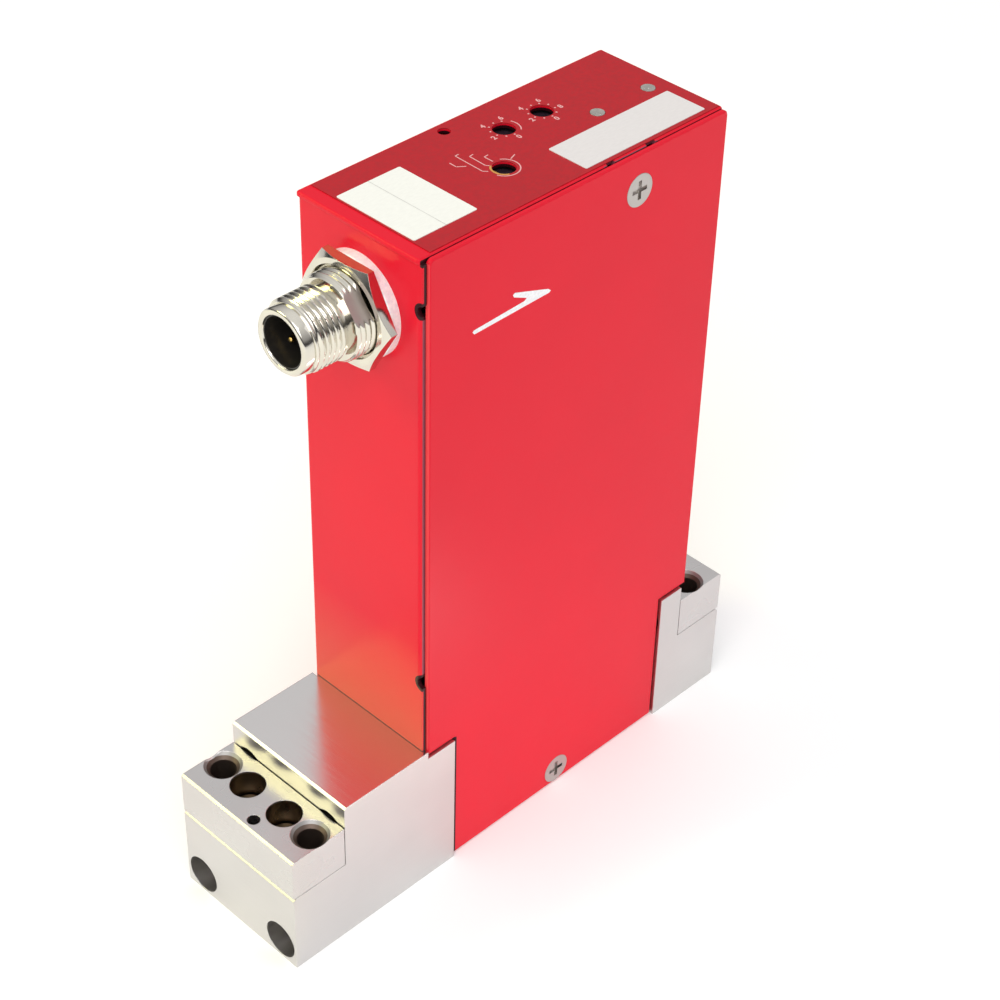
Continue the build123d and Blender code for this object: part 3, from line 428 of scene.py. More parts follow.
def any_of(tree, *masks):
    """1 where any of the masks is 1."""
    result = masks[0]
    for mask in masks[1:]:
        result = joined(tree, "MAXIMUM", result, mask)
    return result


def both_of(tree, first, second):
    """1 where both masks are 1."""
    return joined(tree, "MULTIPLY", first, second)


def scaled(colour, share):
    """A colour made darker or lighter by a share."""
    return tuple(min(1.0, channel * share) for channel in colour)


def bare_metal(tree, settings):
    """Where the shell's folded edge beside the panel, and its notch at the top, are left unpainted. The
    bare metal is shown in a purple-grey tone, a painted reflection of the red paint beside it.
    """
    edge = PANEL_BOX[0].x
    front = PANEL_BOX[0].y
    behind = front + 2.0 * MM
    top = CASE_BOX[1].z
    strip = within(
        tree,
        x=(edge - settings.bare_strip_width, edge + 0.2 * MM),
        y=(front + 0.3 * MM, behind),
        z=(FOLD_LOW + RELIEF, FOLD_HIGH - RELIEF),
    )
    notch = within(tree, x=NOTCH_SPAN, y=(front + 0.8 * MM, behind), z=(top - 1.3 * MM, top - 0.1 * MM))
    return any_of(tree, strip, notch)


def shaded_gaps(tree):
    """Painted shade on the shell: deep in its gaps, relief notches and openings, and in a thin line at the
    block's top.
    """
    edge = PANEL_BOX[0].x
    front = PANEL_BOX[0].y
    top = CASE_BOX[1].z
    beside = (edge - 0.6 * MM, edge + 1.0 * MM)
    behind = (front, front + 1.0 * MM)
    masks = [
        within(tree, x=beside, y=behind, z=(FOLD_HIGH, FAR)),
        within(tree, x=beside, y=behind, z=(0.0, FOLD_LOW)),
        within(tree, y=behind, z=(top - 1.2 * MM, top - 0.05 * MM)),
        within(tree, z=(BLOCK_BOX[1].z, BLOCK_BOX[1].z + 0.14 * MM)),
    ]
    inside_wall = within(tree, x=(CASE_BOX[0].x + 0.03 * MM, edge + 3.0 * MM))
    for height in (FOLD_LOW, FOLD_HIGH):
        relief_centre = Vector((0.0, CASE_BOX[0].y, height))
        masks.append(both_of(tree, round_spot(tree, relief_centre, "YZ", 1.5 * RELIEF), inside_wall))
    below_top = within(tree, z=(0.0, top - 0.3 * MM))
    openings = [(rotor_centre(number), ROTOR_OPENING) for number in (1, 2, 3)]
    openings.append((middle(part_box("zero_plunger")), BUTTON_OPENING))
    for centre, radius in openings:
        masks.append(both_of(tree, round_spot(tree, centre, "XY", radius), below_top))
    return any_of(tree, *masks)


def block_glow(tree):
    """Light that the block's step throws on the foot of the end wall: 1 at the block, fading upwards."""
    foot = BLOCK_BOX[1].z
    reach = 22.0 * MM
    fade = spread(tree, axis_of(tree, "Z"), 1.0, 0.0, foot, foot + reach)
    end_wall = within(tree, x=(-FAR, CASE_BOX[0].x + 0.5 * MM))
    return both_of(tree, fade, end_wall)


def red_paint(settings, name, *places):
    """Satin paint with a fine orange peel. Each place is a mask's function with the tone it gets."""
    material, tree, shader = new_finish(name)
    colour = tuple(settings.paint_colour)
    clouds = grain(tree, 60.0, detail=2.0)
    paint = tones(tree, clouds, scaled(colour, 0.985), scaled(colour, 1.015))
    for mask, tone in places:
        paint = chosen(tree, mask(tree), paint, tone)
    tree.links.new(paint, shader.inputs["Base Color"])
    patches = grain(tree, 900.0, detail=2.0)
    low = settings.paint_roughness - 0.015
    tree.links.new(spread(tree, patches, low, low + 0.03), shader.inputs["Roughness"])
    shader.inputs["Specular IOR Level"].default_value = 0.20
    peel = grain(tree, 2600.0, detail=2.0)
    relief(tree, shader, peel, depth=0.006 * MM, edge_round=0.2 * MM)
    return material


def panel_edge(tree):
    """The panel's cut edge towards the inlet, where the paint is thin; its lighter red is partly a painted
    highlight.
    """
    cut = (-FAR, PANEL_BOX[0].x + 0.14 * MM)
    return within(tree, x=cut, z=(BLOCK_BOX[1].z, PANEL_BOX[1].z - 0.6 * MM))


def panel_shade(tree):
    """Painted shade along the edge of the panel's tongue, which lies sunk in the block."""
    return within(tree, x=(-FAR, TONGUE_X + 0.45 * MM), z=(-FAR, BLOCK_BOX[1].z - 1.2 * MM))


def overlay_film(settings):
    """Matte printed film with a fine texture."""
    material, tree, shader = new_finish("overlay_film")
    colour = tuple(settings.overlay_colour)
    speckle = grain(tree, 1500.0, detail=3.0)
    film = tones(tree, speckle, scaled(colour, 0.93), scaled(colour, 1.07))
    tree.links.new(film, shader.inputs["Base Color"])
    tree.links.new(spread(tree, speckle, 0.46, 0.58), shader.inputs["Roughness"])
    shader.inputs["Specular IOR Level"].default_value = 0.3
    relief(tree, shader, grain(tree, 4200.0, detail=1.0), depth=0.004 * MM)
    return material


def cutter_lines(tree):
    """Fine lines left by the cutter: lengthways on faces that look to the side, and across elsewhere."""
    scale = 2400.0
    stretched = 0.04
    facing_sideways = 0.7
    across = grain(tree, scale, (1.0, stretched, 1.0), detail=3.0)
    along = grain(tree, scale, (stretched, 1.0, 1.0), detail=3.0)
    split = tree.nodes.new("ShaderNodeSeparateXYZ")
    tree.links.new(tree.nodes.new("ShaderNodeTexCoord").outputs["Normal"], split.inputs["Vector"])
    turned = joined(tree, "ABSOLUTE", split.outputs["Y"], 0.0)
    sideways = joined(tree, "GREATER_THAN", turned, facing_sideways)
    change = joined(tree, "MULTIPLY", joined(tree, "SUBTRACT", along, across), sideways)
    return joined(tree, "ADD", across, change)


def upright_holes(tree, across, radius):
    """1 within a radius of the four upright holes that stand at a distance from the middle plane."""
    squares = []
    for axis, place in (("X", PLATE_HOLE_X), ("Y", across)):
        offset = joined(tree, "SUBTRACT", joined(tree, "ABSOLUTE", axis_of(tree, axis), 0.0), place)
        squares.append(joined(tree, "MULTIPLY", offset, offset))
    return joined(tree, "LESS_THAN", joined(tree, "ADD", *squares), radius**2)


def plate_holes(tree):
    """Masks of the end plates' countersinks, holes and counterbores, and of the seam under the plates,
    which get painted shade.
    """
    sunk = within(tree, y=(-PLATE_SIDE, PLATE_SIDE), z=(0.0, PLATE_TOP - 0.04 * MM))
    deep = within(tree, z=(0.0, PLATE_TOP - 0.40 * MM))
    cones = both_of(tree, upright_holes(tree, MOUNT_HOLE_Y, 3.35 * MM), sunk)
    holes = both_of(tree, upright_holes(tree, MOUNT_HOLE_Y, 2.8 * MM), sunk)
    bores = both_of(tree, upright_holes(tree, SCREW_HOLE_Y, 3.1 * MM), deep)
    seam = within(tree, z=(0.0, LEDGE_TOP + 0.07 * MM))
    return cones, holes, bores, seam


def steel(settings, name, shine=1.0, polished_above=None, hollows=None):
    """Machined steel, with fine cutter lines or, where it has hollows, a smooth ground face with painted
    shade in the hollows.
    """
    material, tree, shader = new_finish(name)
    shader.inputs["Metallic"].default_value = 1.0
    colour = tuple(settings.colour)
    lines = cutter_lines(tree) if hollows is None else grain(tree, 200.0, detail=1.0)
    clouds = grain(tree, 70.0, detail=2.0)
    tint = tones(tree, clouds, scaled(colour, 0.975), scaled(colour, 1.025), start=0.3, end=0.7)
    milled = settings.roughness * shine
    rough = spread(tree, lines, milled - 0.03, milled + 0.03)
    if hollows is not None:
        # Painted shade in the plates' hollows: darker countersinks, holes, counterbores and seam under the
        # plates, with a brown tint in the counterbores
        cones, holes, bores, seam = hollows(tree)
        places = ((cones, scaled(colour, 0.60)), (holes, HOLE_SHADE_TONE), (bores, BORE_SHADE_TONE), (seam, SEAM_SHADE_TONE))
        for mask, tone in places:
            tint = chosen(tree, mask, tint, tone)
        rough = joined(tree, "ADD", rough, joined(tree, "MULTIPLY", cones, 0.25))
    if polished_above is not None:
        # The polished top gets a lighter tint, a painted sheen, as well as a lower roughness
        top = within(tree, z=(polished_above, FAR))
        tint = chosen(tree, top, tint, scaled(colour, 1.13))
        smooth = settings.polished_roughness
        polished = spread(tree, lines, smooth - 0.02, smooth + 0.04)
        difference = joined(tree, "SUBTRACT", polished, rough)
        rough = joined(tree, "ADD", rough, joined(tree, "MULTIPLY", difference, top))
    tree.links.new(tint, shader.inputs["Base Color"])
    tree.links.new(rough, shader.inputs["Roughness"])
    if hollows is None:
        relief(tree, shader, lines, depth=0.0003 * MM, edge_round=settings.edge_round)
    else:
        tree.links.new(soft_edges(tree, settings.edge_round), shader.inputs["Normal"])
    return material


def key_flat(tree):
    """The connector's key flat, behind the groove between its threads."""
    axis = middle(CONNECTOR_BOX)
    across = joined(tree, "SUBTRACT", axis_of(tree, "Y"), axis.y)
    up = joined(tree, "SUBTRACT", axis_of(tree, "Z"), axis.z)
    across = joined(tree, "MULTIPLY", across, math.cos(FLAT_ANGLE))
    up = joined(tree, "MULTIPLY", up, math.sin(FLAT_ANGLE))
    outwards = joined(tree, "GREATER_THAN", joined(tree, "ADD", across, up), FLAT_DISTANCE - 0.05 * MM)
    return both_of(tree, outwards, within(tree, x=(NUT_BOX[0].x - 3.0 * MM, NUT_BOX[0].x + 0.1 * MM)))


def plated(name, colour, roughness, edge_round=0.08 * MM, texture=0.0006 * MM, dull=None):
    """Bright metal with faint handling marks, and with a duller place where dull gives its mask."""
    material, tree, shader = new_finish(name)
    shader.inputs["Metallic"].default_value = 1.0
    smears = grain(tree, 320.0, (1.0, 1.0, 0.3), detail=3.0)
    tint = tones(tree, smears, scaled(colour, 0.94), scaled(colour, 1.04))
    matt = spread(tree, smears, roughness - 0.03, roughness + 0.05)
    if dull is not None:
        place = dull(tree)
        tint = chosen(tree, place, tint, KEY_FLAT_TONE)
        matt = joined(tree, "ADD", matt, joined(tree, "MULTIPLY", place, 0.4))
    tree.links.new(tint, shader.inputs["Base Color"])
    tree.links.new(matt, shader.inputs["Roughness"])
    relief(tree, shader, grain(tree, 1800.0, detail=2.0), texture, edge_round)
    return material


def moulded(name, colour, roughness, milky=0.0):
    """Moulded plastic, rubber or ceramic with a fine texture and slight changes of tone."""
    material, tree, shader = new_finish(name)
    fleck = grain(tree, 1400.0, detail=3.0)
    tint = tones(tree, fleck, scaled(colour, 0.9), scaled(colour, 1.08))
    tree.links.new(tint, shader.inputs["Base Color"])
    tree.links.new(spread(tree, fleck, roughness - 0.05, roughness + 0.05), shader.inputs["Roughness"])
    shader.inputs["Subsurface Weight"].default_value = milky
    shader.inputs["Subsurface Scale"].default_value = 0.6 * MM
    relief(tree, shader, fleck, depth=0.003 * MM)
    return material


def rotor_finish(centre):
    """Dark rotor with a tan mark moulded along one side of its face."""
    mark_radius = 1.15 * MM
    mark_edge = 0.2 * MM
    material, tree, shader = new_finish("rotor_finish")
    along = joined(tree, "SUBTRACT", axis_of(tree, "X"), centre.x)
    across = joined(tree, "SUBTRACT", axis_of(tree, "Y"), centre.y)
    squares = (joined(tree, "MULTIPLY", along, along), joined(tree, "MULTIPLY", across, across))
    radius = joined(tree, "SQRT", joined(tree, "ADD", *squares), 0.0)
    outer = joined(tree, "GREATER_THAN", radius, mark_radius)
    inlet_side = joined(tree, "LESS_THAN", along, mark_edge)
    crescent = both_of(tree, outer, inlet_side)
    fleck = grain(tree, 1500.0, detail=2.0)
    dark = tones(tree, fleck, (0.022, 0.012, 0.020), (0.040, 0.022, 0.034))
    tree.links.new(chosen(tree, crescent, dark, TAN_TONE), shader.inputs["Base Color"])
    tree.links.new(spread(tree, fleck, 0.32, 0.42), shader.inputs["Roughness"])
    relief(tree, shader, fleck, depth=0.003 * MM)
    return material


def clear_lens():
    """Clear moulded lens, faintly smoky inside."""
    material, tree, shader = new_finish("clear_lens_finish")
    haze = grain(tree, 700.0, detail=2.0)
    smoke = tones(tree, haze, (0.60, 0.57, 0.55), (0.74, 0.71, 0.68))
    tree.links.new(smoke, shader.inputs["Base Color"])
    tree.links.new(spread(tree, haze, 0.08, 0.16), shader.inputs["Roughness"])
    shader.inputs["Transmission Weight"].default_value = 0.55
    shader.inputs["IOR"].default_value = 1.49
    relief(tree, shader, haze, depth=0.002 * MM)
    return material


def circuit_board():
    """Green solder mask over copper tracks."""
    material, tree, shader = new_finish("circuit_board_finish")
    cells = tree.nodes.new("ShaderNodeTexVoronoi")
    cells.distance = "CHEBYCHEV"
    cells.inputs["Scale"].default_value = 420.0
    tree.links.new(place_of(tree), cells.inputs["Vector"])
    distance = cells.outputs["Distance"]
    tracks = tones(tree, distance, (0.010, 0.085, 0.035), (0.016, 0.150, 0.060), start=0.32, end=0.36)
    tree.links.new(tracks, shader.inputs["Base Color"])
    tree.links.new(spread(tree, grain(tree, 300.0), 0.26, 0.38), shader.inputs["Roughness"])
    relief(tree, shader, distance, depth=0.008 * MM)
    return material


def print_ink(name, colour):
    """Screen-printed ink with a slightly uneven cover."""
    material, tree, shader = new_finish(name)
    cover = grain(tree, 2400.0, detail=2.0)
    tree.links.new(tones(tree, cover, scaled(colour, 0.88), colour), shader.inputs["Base Color"])
    tree.links.new(spread(tree, cover, 0.42, 0.55), shader.inputs["Roughness"])
    return material


def label_stock(name, colour):
    """Coated label stock with a faint fibre."""
    material, tree, shader = new_finish(name)
    fibre = grain(tree, 900.0, (1.0, 3.0, 1.0), detail=4.0)
    tree.links.new(tones(tree, fibre, scaled(colour, 0.965), colour), shader.inputs["Base Color"])
    tree.links.new(spread(tree, fibre, 0.38, 0.5), shader.inputs["Roughness"])
    relief(tree, shader, fibre, depth=0.002 * MM)
    return material


# ---- Helpers for pieces


def dress(material, *names):
    """Give CAD nodes a finish."""
    for name in names:
        for slot in NODES[name].material_slots:
            slot.material = material


def add_piece(name, mesh, material, body="housing"):
    """A new piece that rides on a body and takes its material."""
    mesh.materials.append(material)
    made = bpy.data.objects.new(name, mesh)
    bpy.context.scene.collection.objects.link(made)
    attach(made, body)
    return made


def ring_mesh(name, stations, segments=144):
    """Closed body of rings round the connector's axis. Each station is a function of the angle."""
    axis = middle(CONNECTOR_BOX)
    shape = bmesh.new()
    rings = []
    for along, radius_at in stations:
        ring = []
        for step in range(segments):
            angle = 2 * math.pi * step / segments
            radius = radius_at(angle)
            place = (along, axis.y + radius * math.cos(angle), axis.z + radius * math.sin(angle))
            ring.append(shape.verts.new(place))
        rings.append(ring)
    for number, ring in enumerate(rings):
        following = rings[(number + 1) % len(rings)]
        for step in range(segments):
            beyond = (step + 1) % segments
            shape.faces.new((ring[step], ring[beyond], following[beyond], following[step]))
    bmesh.ops.recalc_face_normals(shape, faces=shape.faces)
    mesh = bpy.data.meshes.new(name)
    shape.to_mesh(mesh)
    shape.free()
    for polygon in mesh.polygons:
        polygon.use_smooth = True
    return mesh


def ribbon(shape, points, width, place):
    """Flat printed line of one width through points, laid on a surface by place(u, v)."""
    half = width / 2
    sides = []
    for number, point in enumerate(points):
        before = points[max(number - 1, 0)]
        after = points[min(number + 1, len(points) - 1)]
        direction = Vector((after[0] - before[0], after[1] - before[1])).normalized()
        across = Vector((-direction.y, direction.x))
        turn = 1.0
        if 0 < number < len(points) - 1:
            into = Vector((point[0] - before[0], point[1] - before[1])).normalized()
            turn = 1.0 / max(0.5, abs(across.dot(Vector((-into.y, into.x)))))
        offset = across * half * turn
        centre = Vector(point)
        left = shape.verts.new(place(*(centre + offset)))
        right = shape.verts.new(place(*(centre - offset)))
        sides.append((left, right))
    for (a, b), (c, d) in zip(sides, sides[1:]):
        shape.faces.new((a, b, d, c))


def finished_mesh(name, shape, up):
    """Mesh of flat print whose faces look along up."""
    for face in shape.faces:
        face.normal_update()
        if face.normal.dot(up) < 0:
            face.normal_flip()
    mesh = bpy.data.meshes.new(name)
    shape.to_mesh(mesh)
    shape.free()
    return mesh


def add_print(name, shape, up, ink):
    """A new piece of flat print on the housing, whose faces look along up."""
    return add_piece(name, finished_mesh(name, shape, up), ink)


def on_top(x, y):
    """Point on the overlay."""
    return Vector((x, y, OVERLAY_BOX[1].z + PRINT_HEIGHT))


def on_panel(x, z):
    """Point on the side panel's outer face."""
    return Vector((x, PANEL_BOX[0].y - PRINT_HEIGHT, z))


def on_sticker(x, y):
    """Point on the sticker."""
    return Vector((x, y, STICKER_BOX[1].z + PRINT_HEIGHT))


def arc(centre, radius, start, end, steps=24):
    """Points along an arc, with its angles in degrees."""
    points = []
    for step in range(steps + 1):
        angle = math.radians(start + (end - start) * step / steps)
        points.append((centre[0] + radius * math.cos(angle), centre[1] + radius * math.sin(angle)))
    return points


def rotor_centre(number):
    """Centre of a rotary switch's rotor."""
    return middle(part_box(f"switch_rotor_{number}"))


def beside_dial(number, position, radius):
    """Point at a distance from a numbered dial's centre, in the direction of one of its positions."""
    angle = -math.pi / 2 - DIAL_STEP * position
    return rotor_centre(number).xy + Vector((math.cos(angle), math.sin(angle))) * radius


# ---- Sections of the connector's shell, each with its place along the axis and its radius at any angle


def plain(radius):
    """Round section."""
    return lambda angle: radius


def threaded(pitch, depth, radius, along, from_start, to_end):
    """Section of a thread: a rounded groove that climbs one pitch in a turn, cut by the key flat."""
    fade_in = 0.7 * pitch
    fade_out = 0.2 * pitch
    steepness = 1.25
    root_share = 0.12
    near_flat = 0.5
    run_out = max(0.0, min(1.0, from_start / fade_in, to_end / fade_out))

    def radius_at(angle):
        phase = (along / pitch - angle / (2 * math.pi)) % 1.0
        slope = min(1.0, max(0.0, abs(2 * phase - 1) * steepness - root_share))
        cut = radius - depth * (1 - slope) * run_out
        facing = math.cos(angle - FLAT_ANGLE)
        return min(cut, FLAT_DISTANCE / facing) if facing > near_flat else cut

    return radius_at


def thread_stations(pitch, depth, start, end, radius):
    """Sections of one thread, with a tapered lead at its start."""
    steps_per_turn = 12
    lead = 0.5 * MM
    lead_depth = 0.45 * MM
    count = round((end - start) / pitch * steps_per_turn)
    stations = []
    for step in range(count + 1):
        along = start + (end - start) * step / count
        taper = min(1.0, (along - start) / lead)
        reduced = radius - lead_depth * (1 - taper)
        stations.append((along, threaded(pitch, depth, reduced, along, along - start, end - along)))
    return stations


def shell_stations(pitch, depth):
    """Sections from the mouth over the outside to the tail, and back through the bore to the mouth."""
    mouth = CONNECTOR_BOX[0].x
    tail = CONNECTOR_BOX[1].x
    nut_back = NUT_BOX[1].x
    socket_radius = 4.3 * MM
    seat_radius = (INSERT_BOX[1].z - INSERT_BOX[0].z) / 2 + 0.05 * MM
    seat_x = mouth + 9.5 * MM
    tail_radius = 6.3 * MM
    mouth_edge = 0.12 * MM
    nose_edge = 0.3 * MM
    rear_depth = 0.6 * depth

    # Each holds a start, an end and a radius
    nose = (mouth, mouth + 1.9 * MM, 5.35 * MM)
    front_thread = (nose[1], nose[1] + 5.7 * MM, 6.0 * MM)
    groove = (front_thread[1], front_thread[1] + 1.2 * MM, 5.4 * MM)
    rear_thread = (groove[1], nut_back, 7.0 * MM)
    flange = (tail - 7.2 * MM, tail - 5.7 * MM, 8.6 * MM)
    return [
        (mouth, plain(socket_radius + mouth_edge)),
        (mouth, plain(nose[2] - nose_edge)),
        (mouth + nose_edge, plain(nose[2])),
        (nose[1], plain(nose[2])),
        *thread_stations(pitch, depth, *front_thread),
        (groove[0], plain(groove[2])),
        (groove[1], plain(groove[2])),
        *thread_stations(pitch, rear_depth, *rear_thread),
        (nut_back, plain(rear_thread[2])),
        (flange[0], plain(rear_thread[2])),
        (flange[0], plain(flange[2])),
        (flange[1], plain(flange[2])),
        (flange[1], plain(tail_radius)),
        (tail, plain(tail_radius)),
        (tail, plain(seat_radius)),
        (seat_x, plain(seat_radius)),
        (seat_x, plain(socket_radius)),
        (mouth + mouth_edge, plain(socket_radius)),
    ]


# ---- Operators, one for each piece or group of like pieces


class FLOWCONTROLLER_OT_case(bpy.types.Operator):
    """Paint the shell and the side panel, and lay the film and the labels"""

    bl_idname = "flowcontroller.case"
    bl_label = "Case"

    def execute(self, context):
        settings = context.scene.flow_case

        def unpainted(tree):
            return bare_metal(tree, settings)

        shell_places = ((block_glow, GLOW_TONE), (unpainted, BARE_METAL_WITH_REFLECTION_TONE), (shaded_gaps, PAINTED_SHADE_TONE))
        panel_places = ((panel_edge, WORN_AND_HIGHLIGHT_TONE), (panel_shade, PAINTED_SHADE_TONE))
        dress(red_paint(settings, "shell_paint", *shell_places), "case_shell")
        dress(red_paint(settings, "panel_paint", *panel_places), "side_panel")
        dress(overlay_film(settings), "top_overlay")
        dress(label_stock("white_label_stock", (0.745, 0.715, 0.73)), "white_label")
        dress(label_stock("sticker_stock", (0.88, 0.885, 0.855)), "id_sticker")
        return {"FINISHED"}


class FLOWCONTROLLER_OT_block(bpy.types.Operator):
    """Give the block, the end plates and the gas parts their machined steel"""

    bl_idname = "flowcontroller.block"
    bl_label = "Block"

    def execute(self, context):
        settings = context.scene.flow_steel
        polished_above = BLOCK_BOX[1].z - 0.3 * MM
        dress(steel(settings, "block_steel", polished_above=polished_above), "base_block")
        plate_steel = steel(settings, "plate_steel", shine=0.85, hollows=plate_holes)
        dress(plate_steel, "inlet_plate", "outlet_plate")
        inner = steel(settings, "inner_steel_finish", shine=0.8)
        dress(
            inner, "bypass_element", "sensor_base", "sensor_tube", "valve_seat", "valve_diaphragm",
            "actuator_housing", "push_pin", "actuator_cap", "sensor_cover", "board_bracket", "standoffs",
        )
        return {"FINISHED"}


class FLOWCONTROLLER_OT_screws(bpy.types.Operator):
    """Give the screws their turned steel, and the plate screws a near-black finish that is painted shade
    """

    bl_idname = "flowcontroller.screws"
    bl_label = "Screws"

    def execute(self, context):
        turned = plated("screw_finish", (0.50, 0.47, 0.45), 0.30)
        # The plate screws sit deep in their counterbores: their near-black finish is painted shade
        dress(plated("screw_shade_finish", (0.10, 0.08, 0.06), 0.34), "plate_screws")
        dress(
            turned, "sensor_screws", "actuator_screws", "bracket_screw",
            "main_board_screws", "top_board_screws", "panel_screws", "shell_screw",
        )
        return {"FINISHED"}


class FLOWCONTROLLER_OT_connector(bpy.types.Operator):
    """Cut both threads of the connector's shell and finish its parts"""

    bl_idname = "flowcontroller.connector"
    bl_label = "Connector"

    def execute(self, context):
        settings = context.scene.flow_connector
        colour = tuple(settings.nickel_colour)
        nickel = plated("nickel_finish", colour, 0.12)
        thread_nickel = plated(
            "thread_nickel", colour, 0.12, edge_round=None, texture=0.0001 * MM, dull=key_flat
        )
        stations = shell_stations(settings.thread_pitch, settings.thread_depth)
        mesh = ring_mesh("threaded_shell", stations)
        shell = add_piece("threaded_shell", mesh, thread_nickel)
        split = shell.modifiers.new("sharp_steps", "EDGE_SPLIT")
        split.split_angle = math.radians(50)
        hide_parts("connector_shell")

        dress(nickel, "connector_nut")
        dress(moulded("nylon_washer", (0.94, 0.95, 0.98), 0.38, milky=0.1), "connector_washer")
        dress(moulded("insert_plastic", (0.018, 0.016, 0.014), 0.36), "connector_insert")
        dress(plated("gold_contact", (0.95, 0.66, 0.22), 0.14, edge_round=0.05 * MM), "connector_contacts")
        dress(moulded("gasket_rubber", (0.02, 0.02, 0.02), 0.62), "connector_gasket")
        return {"FINISHED"}


class FLOWCONTROLLER_OT_switches(bpy.types.Operator):
    """Finish the rotary switches, the zero button and the lights"""

    bl_idname = "flowcontroller.switches"
    bl_label = "Switches and lights"

    def execute(self, context):
        dark = moulded("switch_plastic", (0.020, 0.018, 0.024), 0.42)
        dress(dark, "switch_bodies", "zero_switch_body", "board_header", "connector_header")
        plum = moulded("rotor_plastic_finish", (0.032, 0.018, 0.028), 0.36)
        dress(plum, "switch_rotor_1", "switch_rotor_2")
        dress(rotor_finish(rotor_centre(3)), "switch_rotor_3")
        dress(moulded("plunger_plastic_finish", (0.028, 0.018, 0.022), 0.4), "zero_plunger")
        dress(clear_lens(), "led_lenses")
        dress(moulded("led_resin", (0.72, 0.70, 0.56), 0.3, milky=0.2), "status_leds")
        return {"FINISHED"}


class FLOWCONTROLLER_OT_insides(bpy.types.Operator):
    """Finish the boards, the sensor's windings and the piezo stack"""

    bl_idname = "flowcontroller.insides"
    bl_label = "Insides"

    def execute(self, context):
        dress(circuit_board(), "main_board", "top_board", "connector_board")
        dress(moulded("chip_resin", (0.016, 0.016, 0.018), 0.44), "processor", "small_chips")
        dress(plated("capacitor_can", (0.78, 0.78, 0.79), 0.24), "capacitors")
        dress(plated("winding_wire", (0.72, 0.34, 0.14), 0.3), "sensor_coils")
        dress(moulded("piezo_ceramic", (0.52, 0.47, 0.36), 0.5), "piezo_stack")
        return {"FINISHED"}


